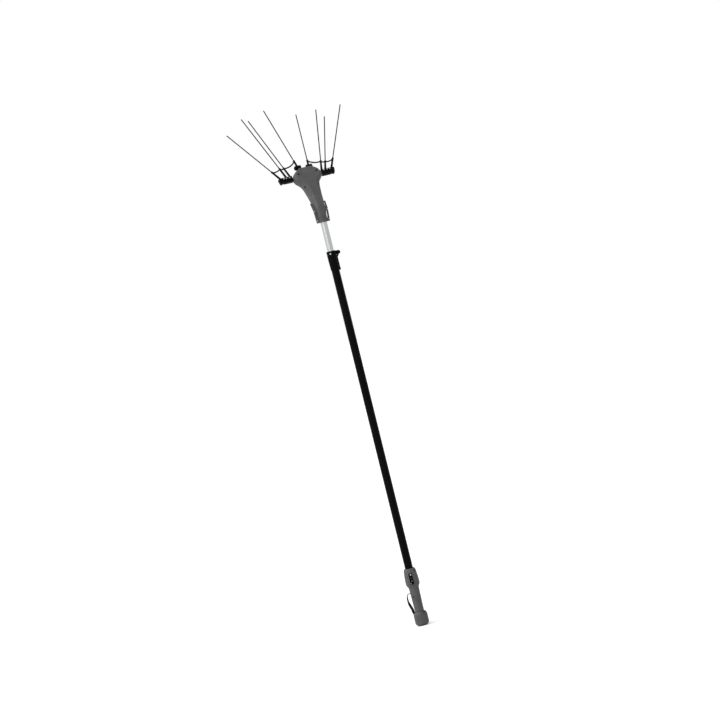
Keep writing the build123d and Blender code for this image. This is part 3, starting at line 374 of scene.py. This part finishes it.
# Polished cap of white moulded plastic: clean and glossy, with a faint orange peel.
WHITE_POLISHED_CAP = Moulded("white_polished_cap", "#cfcfcc", "#dcdcd9", 0.22, 0.03,
                             rubbed="#ffffff", grain_mm=2.5, grain_depth_mm=0.01, cloud_mm=8.0,
                             edge_mm=0.4, edge_share=0.3)
# Moulded rubber: matt, soft on the edges, dusty in places.
BLACK_MOULDED_RUBBER = Grained("black_moulded_rubber", "#171717", "#242423", 0.78, 0.06,
                               cell_mm=0.9, cell_depth_mm=0.05, specular_level=0.3)
# Milky moulded lens over the indicator: pale, and lit through.
MILKY_MOULDED_LENS = Grained("milky_moulded_lens", "#dfe3e4", "#eef1f1", 0.25, 0.04,
                             cell_mm=1.4, cell_depth_mm=0.01, transmission=0.35, ior=1.49)
# Black-dyed anodised aluminium tube: near black, with faint lines from drawing.
BLACK_ANODISED_TUBE = Streaked("black_anodised_tube", "#020203", "#0a0a0b", 0.42, 0.06,
                               line_mm=1.8, stretch=160.0, line_depth_mm=0.01, metallic=0.0,
                               specular_level=0.04)
# Drawn aluminium tube, left bright: a soft metal glare in a long streak.
BRIGHT_DRAWN_ALUMINIUM = Streaked("bright_drawn_aluminium", "#a9aaab", "#b9babb", 0.34, 0.03,
                                  line_mm=1.2, stretch=400.0, line_depth_mm=0.003, metallic=1.0)
# Ground steel of the shafts and gears: cool grey with fine grinding lines.
GROUND_STEEL = Streaked("ground_steel", "#8d8f92", "#a9abae", 0.30, 0.05,
                        line_mm=0.5, stretch=25.0, line_depth_mm=0.004, metallic=1.0)
# Bright zinc plate on the bolts: silvery, mottled by its crystals.
BRIGHT_ZINC_PLATE = Grained("bright_zinc_plate", "#8c8f92", "#a6a9ac", 0.34, 0.05,
                            cell_mm=0.8, cell_depth_mm=0.008, metallic=1.0)
# Black-oxide steel of the screws: dark, with a dull metal glint.
BLACK_OXIDE_STEEL = Grained("black_oxide_steel", "#0c0c0d", "#17181a", 0.42, 0.06,
                            cell_mm=0.6, cell_depth_mm=0.008, metallic=1.0)
# Pressed and plated steel of the motor's case.
PRESSED_MOTOR_STEEL = Grained("pressed_motor_steel", "#76787b", "#8e9093", 0.38, 0.05,
                              cell_mm=1.5, cell_depth_mm=0.01, metallic=1.0)
# Sintered ferrite of the magnets.
SINTERED_FERRITE = Grained("sintered_ferrite", "#242527", "#313235", 0.62, 0.06,
                           cell_mm=0.7, cell_depth_mm=0.02)
# Pressed carbon of the brushes.
PRESSED_CARBON = Grained("pressed_carbon", "#1c1c1d", "#2a2a2b", 0.58, 0.06,
                         cell_mm=0.5, cell_depth_mm=0.02)
# Turned brass of the socket's contacts.
TURNED_BRASS = Grained("turned_brass", "#b08a3c", "#c9a24e", 0.28, 0.05,
                       cell_mm=0.6, cell_depth_mm=0.006, metallic=1.0)
# Lacquered glass-fibre board.
LACQUERED_BOARD = Grained("lacquered_board", "#16502f", "#1f6a3f", 0.35, 0.05,
                          cell_mm=1.1, cell_depth_mm=0.02)
# Extruded sheath of the leads.
EXTRUDED_SHEATH = Grained("extruded_sheath", "#151516", "#202021", 0.55, 0.05,
                          cell_mm=1.2, cell_depth_mm=0.02)
# Natural moulded nylon of the bush and the brake pad: waxy off-white.
NATURAL_MOULDED_NYLON = Grained("natural_moulded_nylon", "#cfc9b8", "#ddd8ca", 0.45, 0.05,
                                cell_mm=1.6, cell_depth_mm=0.02)
# Spun polyester thread of the strap's stitches: dull, a little paler than the band.
SPUN_POLYESTER_THREAD = Grained("spun_polyester_thread", "#1a1a1b", "#2e2e30", 0.70, 0.06,
                                cell_mm=0.3, cell_depth_mm=0.03, specular_level=0.15)
# White ink, printed thickly on the rocker: flat, with a slightly uneven film.
WHITE_PRINTED_INK = Grained("white_printed_ink", "#bdbdba", "#d2d2cf", 0.50, 0.05,
                            cell_mm=0.4, cell_depth_mm=0.004, specular_level=0.3)
# Polyester webbing, woven flat: ribs of yarn along the band.
# Its yarns are drawn at 1.1 mm, so that they show.
WOVEN_WEBBING = Woven("woven_webbing", "#050506", "#121213", 0.80, 0.08,
                      yarn_mm=1.1, weft_mm=1.5, yarn_depth_mm=0.25, sheen=0.05, specular_level=0.1)


class Side(Enum):
    """The two rakes, seen from the side that the switch is on."""

    LEFT = "left"
    RIGHT = "right"


def pultruded_rod(side: Side) -> Streaked:
    """Gives the finish of one rake's carbon rods: dull fibre lines along the rod, under resin.

    Args:
        side: The rake that the rods are on.

    Returns:
        The finish, with its lines turned to the middle of that rake's fan.
    """
    outward = RODS_OUT_DEG if side is Side.RIGHT else -RODS_OUT_DEG
    return Streaked(f"pultruded_carbon_{side.value}", "#0a0a0b", "#161617", 0.36, 0.06,
                    line_mm=0.8, stretch=60.0, line_depth_mm=0.01, metallic=0.0,
                    lean_back_deg=RODS_BACK_DEG, lean_out_deg=outward, specular_level=0.1)


# Sub-assemblies

def log_piece(piece: bpy.types.Object) -> None:
    """Logs a modelled piece with its number of faces."""
    LOG.info("%s modelled, %d faces", piece.name, len(piece.data.polygons))


def dress(finishes: dict[str, Finish]) -> None:
    """Gives CAD nodes their finishes.

    Args:
        finishes: The finish of each node, by the node's name.
    """
    for node, finish in finishes.items():
        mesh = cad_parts[node].data
        mesh.materials.clear()
        mesh.materials.append(finish.material())
        LOG.info("%s dressed in %s", node, finish.name)


@dataclass
class WristStrap:
    """The webbing strap from the side of the grip down into the butt's shoulder, in millimetres."""

    width: float = 13.0
    thickness: float = 1.6
    corner: float = 0.45
    corner_steps: int = 3
    steps_a_run: int = 8
    route: tuple[tuple[float, float], ...] = (
        (-20.2, 155.0), (-28.2, 155.0), (-37.2, 150.0), (-40.2, 137.0), (-40.2, 119.0),
        (-36.2, 101.0), (-30.6, 83.0), (-28.4, 69.0), (-26.6, 57.4),
    )
    twists: tuple[float, ...] = (0.0, 0.0, 10.0, 20.0, 32.0, 72.0, 88.0, 72.0, 30.0)
    sewn_stations: tuple[int, ...] = (6, 52, 54)
    stitches_across: int = 9
    stitch_margin: float = 1.2
    stitch_length: float = 2.4
    thread: float = 0.5
    thread_sides: int = 10
    end_inset: float = 0.1
    end_bulge: float = 0.125

    def stations(self) -> list[tuple[Vector, Vector]]:
        """Follows the route smoothly.

        Returns:
            The middle of the band and its direction across, in metres, from the top end down.
        """
        points = [Vector((x, 0.0, z)) * MM for x, z in self.route]
        last = len(points) - 1
        slopes = [(points[min(i + 1, last)] - points[max(i - 1, 0)]) / 2 for i in range(last + 1)]
        found = []
        for i in range(last):
            run = interpolate_bezier(points[i], points[i] + slopes[i] / 3, points[i + 1] - slopes[i + 1] / 3,
                                     points[i + 1], self.steps_a_run + 1)
            for step, middle in enumerate(run[:-1] if i < last - 1 else run):
                share = step / self.steps_a_run
                twist = math.radians(self.twists[i] + (self.twists[i + 1] - self.twists[i]) * share)
                along = slopes[i].lerp(slopes[i + 1], share).normalized()
                across = Matrix.Rotation(-twist, 3, along) @ Vector((0.0, 1.0, 0.0))
                found.append((middle, across))
        return found

    def build(self) -> bpy.types.Object:
        """Models the band: the free edge of its first strip is extruded and turned along the route.

        Returns:
            The finished strap.
        """
        stations = self.stations()
        first, second = stations[0][0], stations[1][0]
        bpy.ops.object.select_all(action="DESELECT")
        bpy.ops.mesh.primitive_plane_add(size=1.0, location=(first + second) / 2)
        band = bpy.context.object
        band.name = "webbing_strap"
        band.scale = ((second - first).length, self.width * MM, 1.0)
        bpy.ops.object.transform_apply(location=True, rotation=True, scale=True)
        bpy.ops.object.mode_set(mode="EDIT")
        bpy.ops.mesh.select_mode(type="EDGE")
        self.select_edge(band, second)
        for (here, was), (there, now) in zip(stations[1:], stations[2:]):
            bpy.ops.mesh.extrude_region_move(TRANSFORM_OT_translate={"value": there - here})
            axis = was.cross(now)
            if axis.length > LEAST_TURN:
                turned = axis.to_track_quat("Z", "Y").to_matrix()
                bpy.ops.transform.rotate(value=-was.angle(now), orient_axis="Z", orient_type="GLOBAL",
                                         orient_matrix=turned, center_override=there)
        bpy.ops.object.mode_set(mode="OBJECT")
        self.lay_uv(band, stations)
        solid = band.modifiers.new("web_thickness", "SOLIDIFY")
        solid.thickness = self.thickness * MM
        solid.offset = 0.0
        edge = band.modifiers.new("rolled_selvedge", "BEVEL")
        edge.width = self.corner * MM
        edge.segments = self.corner_steps
        edge.limit_method = "ANGLE"
        for modifier in ("web_thickness", "rolled_selvedge"):
            bpy.ops.object.modifier_apply(modifier=modifier)
        self.turn_with_handle(band)
        band.data.materials.append(WOVEN_WEBBING.material())
        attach(band, "handle")
        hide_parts("wrist_strap")
        return band

    def sew(self) -> bpy.types.Object:
        """Models one stitch and copies it in rows across both faces of the band.

        Returns:
            All the stitches, as one piece.
        """
        bpy.ops.object.select_all(action="DESELECT")
        bpy.ops.mesh.primitive_cylinder_add(vertices=self.thread_sides, radius=self.thread * MM / 2,
                                            depth=self.stitch_length * MM)
        stitch = bpy.context.object
        for face in stitch.data.polygons:
            face.select = len(face.vertices) == self.thread_sides
        bpy.ops.object.mode_set(mode="EDIT")
        bpy.ops.mesh.select_mode(type="FACE")
        bpy.ops.mesh.inset(thickness=self.end_inset * MM, depth=self.end_bulge * MM)
        bpy.ops.object.mode_set(mode="OBJECT")
        stitches = [stitch]
        places = self.stitch_places()
        for _ in places[1:]:
            bpy.ops.object.duplicate(linked=False)
            stitches.append(bpy.context.object)
        for copy, place in zip(stitches, places):
            copy.matrix_world = place
            copy.select_set(True)
        bpy.context.view_layer.update()
        bpy.ops.object.join()
        seam = bpy.context.object
        seam.name = "strap_stitches"
        bpy.ops.object.transform_apply(location=True, rotation=True, scale=True)
        self.turn_with_handle(seam)
        seam.data.materials.append(SPUN_POLYESTER_THREAD.material())
        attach(seam, "handle")
        return seam

    def stitch_places(self) -> list[Matrix]:
        """Finds where each stitch lies.

        Returns:
            One placement for each stitch, half sunk in the band's face.
        """
        stations = self.stations()
        span = (self.width - 2 * self.stitch_margin) * MM
        found = []
        for number in self.sewn_stations:
            middle, across = stations[number]
            along = (stations[number + 1][0] - stations[number - 1][0]).normalized()
            turned = along.to_track_quat("Z", "Y").to_matrix().to_4x4()
            for face in (-1, 1):
                lift = across.cross(along) * face * self.thickness * MM / 2
                for count in range(self.stitches_across):
                    side = across * span * (count / (self.stitches_across - 1) - 0.5)
                    found.append(Matrix.Translation(middle + side + lift) @ turned)
        return found

    def turn_with_handle(self, piece: bpy.types.Object) -> None:
        """Turns a piece with the handle, keeps the turn in its mesh, and smooths it.

        Args:
            piece: The active and only selected object.
        """
        piece.rotation_euler.z = math.radians(HANDLE_TURN_DEG)
        bpy.ops.object.transform_apply(location=True, rotation=True, scale=True)
        bpy.ops.object.shade_smooth_by_angle(angle=SMOOTH_ANGLE)

    def select_edge(self, band: bpy.types.Object, middle: Vector) -> None:
        """Selects the edge across the band at one place.

        Args:
            band: The strap, in edit mode.
            middle: The edge's middle.
        """
        bpy.ops.mesh.select_all(action="DESELECT")
        bpy.ops.object.mode_set(mode="OBJECT")
        corners = band.data.vertices
        for edge in band.data.edges:
            centre = sum((corners[i].co for i in edge.vertices), Vector()) / 2
            edge.select = (centre - middle).length < SAME_PLACE
        bpy.ops.object.mode_set(mode="EDIT")

    def lay_uv(self, band: bpy.types.Object, stations: list[tuple[Vector, Vector]]) -> None:
        """Unrolls the band into metres across and along, for the weave.

        Args:
            band: The strap before it has thickness.
            stations: The middle and the direction across at each step.
        """
        lengths = [0.0]
        for (here, _), (there, _) in zip(stations, stations[1:]):
            lengths.append(lengths[-1] + (there - here).length)
        layer = band.data.uv_layers.active or band.data.uv_layers.new()
        layer.name = "band"
        for loop in band.data.loops:
            corner = band.data.vertices[loop.vertex_index].co
            near = min(range(len(stations)), key=lambda i: (stations[i][0] - corner).length)
            middle, across = stations[near]
            layer.data[loop.index].uv = ((corner - middle).dot(across), lengths[near])


@dataclass
class RockerMarks:
    """The bar for on and the ring for off, on the rocker's dished face, in millimetres."""

    panel: tuple[float, float, float] = (0.0, -31.0, 223.0)
    panel_tilt_deg: float = 3.81
    axle: tuple[float, float, float] = (-1.0, -3.0, -2.4)
    tip_deg: float = 8.0
    dish_radius: float = 25.0
    dish_floor: float = 3.9
    reach: float = 6.4
    bar_width: float = 0.9
    bar_length: float = 3.2
    bar_corner: float = 0.36
    bar_corner_steps: int = 4
    ring_radius: float = 1.8
    ring_sides: int = 40
    stroke: float = 0.65
    thickness: float = 0.24

    def place(self, along: float) -> Matrix:
        """Finds a place on the rocker's face.

        Args:
            along: How far up the rocker from its axle.

        Returns:
            The placement, with Z out of the dished face.
        """
        slope = math.asin(along / self.dish_radius)
        lift = self.dish_floor + self.dish_radius * (1 - math.cos(slope))
        return (Matrix.Rotation(math.radians(HANDLE_TURN_DEG), 4, "Z")
                @ Matrix.Translation(Vector(self.panel) * MM)
                @ Matrix.Rotation(math.radians(90 - self.panel_tilt_deg), 4, "X")
                @ Matrix.Translation(Vector(self.axle) * MM)
                @ Matrix.Rotation(math.radians(self.tip_deg), 4, "X")
                @ Matrix.Translation(Vector((0.0, along, lift)) * MM)
                @ Matrix.Rotation(slope, 4, "X"))

    def build(self) -> list[bpy.types.Object]:
        """Models the two marks.

        Returns:
            The bar and the ring.
        """
        bpy.ops.object.select_all(action="DESELECT")
        bpy.ops.mesh.primitive_plane_add(size=1.0)
        bar = bpy.context.object
        bar.scale = (self.bar_width * MM, self.bar_length * MM, 1.0)
        bpy.ops.object.transform_apply(location=True, rotation=True, scale=True)
        bpy.ops.object.mode_set(mode="EDIT")
        bpy.ops.mesh.select_all(action="SELECT")
        bpy.ops.mesh.bevel(offset=self.bar_corner * MM, segments=self.bar_corner_steps, affect="VERTICES")
        bpy.ops.object.mode_set(mode="OBJECT")
        self.finish_mark(bar, "rocker_on_bar", self.reach)
        bpy.ops.object.select_all(action="DESELECT")
        bpy.ops.mesh.primitive_circle_add(vertices=self.ring_sides, radius=self.ring_radius * MM,
                                          fill_type="NGON")
        ring = bpy.context.object
        bpy.ops.object.mode_set(mode="EDIT")
        bpy.ops.mesh.select_mode(type="FACE")
        bpy.ops.mesh.select_all(action="SELECT")
        bpy.ops.mesh.inset(thickness=self.stroke * MM)
        bpy.ops.mesh.delete(type="FACE")
        bpy.ops.object.mode_set(mode="OBJECT")
        self.finish_mark(ring, "rocker_off_ring", -self.reach)
        return [bar, ring]

    def finish_mark(self, mark: bpy.types.Object, name: str, along: float) -> None:
        """Gives a flat mark its thickness and place, and lets it tip with the rocker.

        Args:
            mark: The flat mark, active and the only selected object.
            name: The piece's name.
            along: How far up the rocker from its axle it lies.
        """
        mark.name = name
        solid = mark.modifiers.new("ink_thickness", "SOLIDIFY")
        solid.thickness = self.thickness * MM
        solid.offset = 0.0
        bpy.ops.object.modifier_apply(modifier="ink_thickness")
        mark.matrix_world = self.place(along)
        bpy.context.view_layer.update()
        bpy.ops.object.transform_apply(location=True, rotation=True, scale=True)
        bpy.ops.object.shade_smooth_by_angle(angle=SMOOTH_ANGLE)
        mark.data.materials.append(WHITE_PRINTED_INK.material())
        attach(mark, "rocker")


@dataclass
class Handle:
    """The grip with its switch, the butt, and what is inside them."""

    strap: WristStrap = field(default_factory=WristStrap)
    marks: RockerMarks = field(default_factory=RockerMarks)

    def finishes(self) -> dict[str, Finish]:
        """Gives the finish of each CAD node of the handle."""
        return {
            "handle_front_shell": GREY_MOULDED_NYLON,
            "handle_rear_shell": GREY_MOULDED_NYLON,
            "handle_screws": BLACK_OXIDE_STEEL,
            "switch_panel": GREY_MOULDED_NYLON,
            "switch_bezel": BLACK_MOULDED_NYLON,
            "switch_body": BLACK_MOULDED_NYLON,
            "rocker_switch": BLACK_MOULDED_NYLON,
            "mode_button": WHITE_POLISHED_CAP,
            "indicator_lens": MILKY_MOULDED_LENS,
            "butt_cap": GREY_MOULDED_NYLON,
            "foot_pad": BLACK_MOULDED_RUBBER,
            "power_socket": BLACK_MOULDED_NYLON,
            "socket_contacts": TURNED_BRASS,
            "control_board": LACQUERED_BOARD,
            "wrist_strap": WOVEN_WEBBING,
        }

    def build(self) -> None:
        """Dresses the handle, hangs and sews its strap, and marks its rocker."""
        dress(self.finishes())
        for piece in [self.strap.build(), self.strap.sew(), *self.marks.build()]:
            log_piece(piece)


@dataclass
class CurlyLead:
    """The curly supply lead inside the lower tube, which stretches as the pole slides, in millimetres."""

    bottom: float = 173.5
    top: float = 629.0
    outer_radius: float = 16.2
    thickness: float = 5.4
    curls: int = 40
    steps_a_curl: int = 20
    sides: int = 12

    def build(self) -> bpy.types.Object:
        """Models the lead: its round section is screwed up round the pole's axis, and its ends are closed.

        Returns:
            The finished lead.
        """
        half = self.thickness / 2
        start = Vector((self.outer_radius - half, 0.0, self.bottom + half)) * MM
        bpy.ops.object.select_all(action="DESELECT")
        bpy.ops.mesh.primitive_circle_add(vertices=self.sides, radius=half * MM, location=start,
                                          rotation=(math.radians(90), 0.0, 0.0))
        lead = bpy.context.object
        lead.name = "curly_lead"
        bpy.ops.object.transform_apply(location=True, rotation=True, scale=True)
        winding = lead.modifiers.new("curls", "SCREW")
        winding.screw_offset = (self.top - self.bottom - self.thickness) * MM / self.curls
        winding.iterations = self.curls
        winding.steps = winding.render_steps = self.steps_a_curl
        bpy.ops.object.modifier_apply(modifier="curls")
        bpy.ops.object.mode_set(mode="EDIT")
        bpy.ops.mesh.select_all(action="SELECT")
        bpy.ops.mesh.fill_holes(sides=self.sides)
        bpy.ops.mesh.select_all(action="SELECT")
        bpy.ops.mesh.normals_make_consistent(inside=False)
        bpy.ops.object.mode_set(mode="OBJECT")
        bpy.ops.object.shade_smooth_by_angle(angle=SMOOTH_ANGLE)
        lead.data.materials.append(EXTRUDED_SHEATH.material())
        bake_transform(lead)
        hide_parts("coiled_lead")
        return lead


@dataclass
class Pole:
    """The two tubes, the clamp that locks them, and the leads inside."""

    lead: CurlyLead = field(default_factory=CurlyLead)

    def finishes(self) -> dict[str, Finish]:
        """Gives the finish of each CAD node of the pole."""
        return {
            "outer_tube": BLACK_ANODISED_TUBE,
            "inner_tube": BRIGHT_DRAWN_ALUMINIUM,
            "slide_bush": NATURAL_MOULDED_NYLON,
            "coiled_lead": EXTRUDED_SHEATH,
            "motor_lead": EXTRUDED_SHEATH,
            "clamp_collar": BLACK_MOULDED_NYLON,
            "collar_screws": BRIGHT_ZINC_PLATE,
            "brake_pad": NATURAL_MOULDED_NYLON,
            "clamp_lever": BLACK_MOULDED_NYLON,
            "hinge_pin": BLACK_OXIDE_STEEL,
        }

    def build(self) -> None:
        """Dresses the tubes and the clamp, and winds the lead."""
        dress(self.finishes())
        log_piece(self.lead.build())


@dataclass
class Head:
    """The housing with its motor and drive."""

    def finishes(self) -> dict[str, Finish]:
        """Gives the finish of each CAD node of the head."""
        found: dict[str, Finish] = {
            "head_front_shell": GREY_MOULDED_NYLON,
            "head_rear_shell": GREY_MOULDED_NYLON,
            "head_screws": BLACK_OXIDE_STEEL,
            "neck_bolts": BRIGHT_ZINC_PLATE,
            "motor_can": PRESSED_MOTOR_STEEL,
            "motor_end_bell": BLACK_MOULDED_NYLON,
            "motor_magnets": SINTERED_FERRITE,
            "motor_brushes": PRESSED_CARBON,
            "armature": PRESSED_MOTOR_STEEL,
            "gear_plate": GROUND_STEEL,
            "shaft_seals": BLACK_MOULDED_RUBBER,
        }
        for node in ("sun_gear", "ring_gear", "planet_pins", "cam_shaft", "cam_bearings",
                     "output_bearing", "rake_bearings", "planet_gear_1", "planet_gear_2", "planet_gear_3"):
            found[node] = GROUND_STEEL
        return found

    def build(self) -> None:
        """Dresses the housing and the drive."""
        dress(self.finishes())


@dataclass
class Rake:
    """One rake: its shaft, its bar and arm, and its four rods."""

    side: Side

    def finishes(self) -> dict[str, Finish]:
        """Gives the finish of each CAD node of this rake."""
        name = self.side.value
        return {
            f"{name}_rake_shaft": GROUND_STEEL,
            f"{name}_rake_fork": BLACK_OXIDE_STEEL,
            f"{name}_inner_arm": BLACK_MOULDED_NYLON,
            f"{name}_rake_bar": BLACK_MOULDED_NYLON,
            f"{name}_rake_bolts": BRIGHT_ZINC_PLATE,
            f"{name}_tines": pultruded_rod(self.side),
            f"{name}_tine_spacer": BLACK_MOULDED_NYLON,
        }

    def build(self) -> None:
        """Dresses this rake."""
        dress(self.finishes())


@dataclass
class Studio:
    """A pale floor, soft light and the camera, which stands where the photograph's did."""

    floor_size: float = 160.0
    floor_colour: str = "#e8e8e6"
    floor_lift: float = 0.38
    paper_fibre_mm: float = 3.0
    paper_depth_mm: float = 0.05
    paper_relief: float = 0.1
    world_light: float = 0.34
    key_strength: float = 2.6
    key_turn_deg: float = -85.0
    key_height_deg: float = 50.0
    key_spread_deg: float = 85.0
    strip_strength: float = 0.24
    strip_turn_deg: float = -41.0
    strip_height_deg: float = 8.0
    strip_spread_deg: float = 18.0
    lens_mm: float = 108.4
    sensor_mm: float = 36.0
    turn_deg: float = -17.827
    reach: float = 9.9304
    eye_height: float = 1.500
    pan_deg: float = -0.0608
    tilt_deg: float = -1.4279
    roll_deg: float = -13.87
    far_clip: float = 500.0

    def build(self) -> None:
        """Lays the floor, lights the object and sets the camera."""
        self.lay_floor()
        self.light_world()
        self.add_sun("key_light", self.key_strength, self.key_turn_deg, self.key_height_deg,
                     self.key_spread_deg)
        self.add_sun("strip_light", self.strip_strength, self.strip_turn_deg, self.strip_height_deg,
                     self.strip_spread_deg)
        self.set_camera()
        bpy.context.scene.view_settings.view_transform = "Standard"

    def seen(self, tree: bpy.types.NodeTree) -> bpy.types.NodeSocket:
        """Finds the rays that see the background itself or its reflection.

        Args:
            tree: The node tree of the floor or the world.

        Returns:
            One for camera, glossy and transmission rays, or else zero.
        """
        path = add_node(tree, "ShaderNodeLightPath")
        total = path.outputs["Is Camera Ray"]
        for ray in ("Is Glossy Ray", "Is Transmission Ray"):
            total = add_node(tree, "ShaderNodeMath", {0: total, 1: path.outputs[ray]},
                             operation="MAXIMUM").outputs[0]
        return total

    def lay_floor(self) -> None:
        """Lays a wide pale floor that shows white and keeps the object's shadow."""
        bpy.ops.object.select_all(action="DESELECT")
        bpy.ops.mesh.primitive_plane_add(size=self.floor_size, location=(0.0, 0.0, 0.0))
        floor = bpy.context.object
        floor.name = "studio_floor"
        paper = bpy.data.materials.new("matt_backdrop_paper")
        paper.use_nodes = True
        tree = paper.node_tree
        tree.nodes.clear()
        place = add_node(tree, "ShaderNodeTexCoord").outputs["Object"]
        fibre = add_node(tree, "ShaderNodeTexNoise", {
            "Vector": place, "Scale": per_metre(self.paper_fibre_mm),
        })
        bump = add_node(tree, "ShaderNodeBump", {
            "Strength": self.paper_relief, "Distance": self.paper_depth_mm * MM,
            "Height": fibre.outputs[0],
        })
        sheet = add_node(tree, "ShaderNodeBsdfDiffuse", {
            "Color": linear(self.floor_colour), "Normal": bump.outputs[0],
        })
        lift = add_node(tree, "ShaderNodeMath", {0: self.seen(tree), 1: self.floor_lift},
                        operation="MULTIPLY")
        glow = add_node(tree, "ShaderNodeEmission", {"Strength": lift.outputs[0]})
        total = add_node(tree, "ShaderNodeAddShader", {0: sheet.outputs[0], 1: glow.outputs[0]})
        add_node(tree, "ShaderNodeOutputMaterial", {"Surface": total.outputs[0]})
        floor.data.materials.append(paper)

    def light_world(self) -> None:
        """Makes the world white to look at and a soft light to stand in."""
        world = bpy.data.worlds.new("white_studio")
        world.use_nodes = True
        tree = world.node_tree
        tree.nodes.clear()
        strength = add_node(tree, "ShaderNodeMapRange", {
            "Value": self.seen(tree), "To Min": self.world_light, "To Max": 1.0,
        })
        sky = add_node(tree, "ShaderNodeBackground", {
            "Color": (1.0, 1.0, 1.0, 1.0), "Strength": strength.outputs[0],
        })
        add_node(tree, "ShaderNodeOutputWorld", {"Surface": sky.outputs[0]})
        bpy.context.scene.world = world

    def add_sun(self, name: str, strength: float, turn_deg: float, height_deg: float,
                spread_deg: float) -> None:
        """Adds one wide, even light.

        Args:
            name: The light's name.
            strength: Its strength in watts per square metre.
            turn_deg: Where it stands, turned from the front towards the right.
            height_deg: How high it stands above the floor.
            spread_deg: How wide it looks from the object.
        """
        lamp = bpy.data.lights.new(name, "SUN")
        lamp.energy = strength
        lamp.angle = math.radians(spread_deg)
        stand = bpy.data.objects.new(name, lamp)
        turn, height = math.radians(turn_deg), math.radians(height_deg)
        towards = Vector((math.sin(turn) * math.cos(height), -math.cos(turn) * math.cos(height),
                          math.sin(height)))
        stand.rotation_euler = towards.to_track_quat("Z", "Y").to_euler()
        bpy.context.scene.collection.objects.link(stand)

    def set_camera(self) -> None:
        """Stands the camera at the photograph's place, tilted and rolled as it was."""
        turn = math.radians(self.turn_deg)
        yaw = turn + math.radians(self.pan_deg)
        tilt, roll = math.radians(self.tilt_deg), math.radians(self.roll_deg)
        eye = Vector((math.sin(turn) * self.reach, -math.cos(turn) * self.reach, self.eye_height))
        ahead = Vector((-math.sin(yaw) * math.cos(tilt), math.cos(yaw) * math.cos(tilt), math.sin(tilt)))
        level = Vector((math.cos(yaw), math.sin(yaw), 0.0))
        upright = level.cross(ahead)
        right = math.cos(roll) * level + math.sin(roll) * upright
        up = -math.sin(roll) * level + math.cos(roll) * upright
        lens = bpy.data.cameras.new("photo_camera")
        lens.lens = self.lens_mm
        lens.sensor_width = self.sensor_mm
        lens.clip_end = self.far_clip
        camera = bpy.data.objects.new("photo_camera", lens)
        turned = Matrix((right, up, -ahead)).transposed().to_4x4()
        camera.matrix_world = Matrix.Translation(eye) @ turned
        bpy.context.scene.collection.objects.link(camera)
        bpy.context.scene.camera = camera


def main() -> None:
    """Builds and dresses the sub-assemblies, then the studio."""
    logging.basicConfig(level=logging.INFO, format="%(name)s: %(message)s")
    for part in (Handle(), Pole(), Head(), Rake(Side.LEFT), Rake(Side.RIGHT), Studio()):
        part.build()
        LOG.info("%s built", type(part).__name__)


if __name__ == "__main__":
    main()
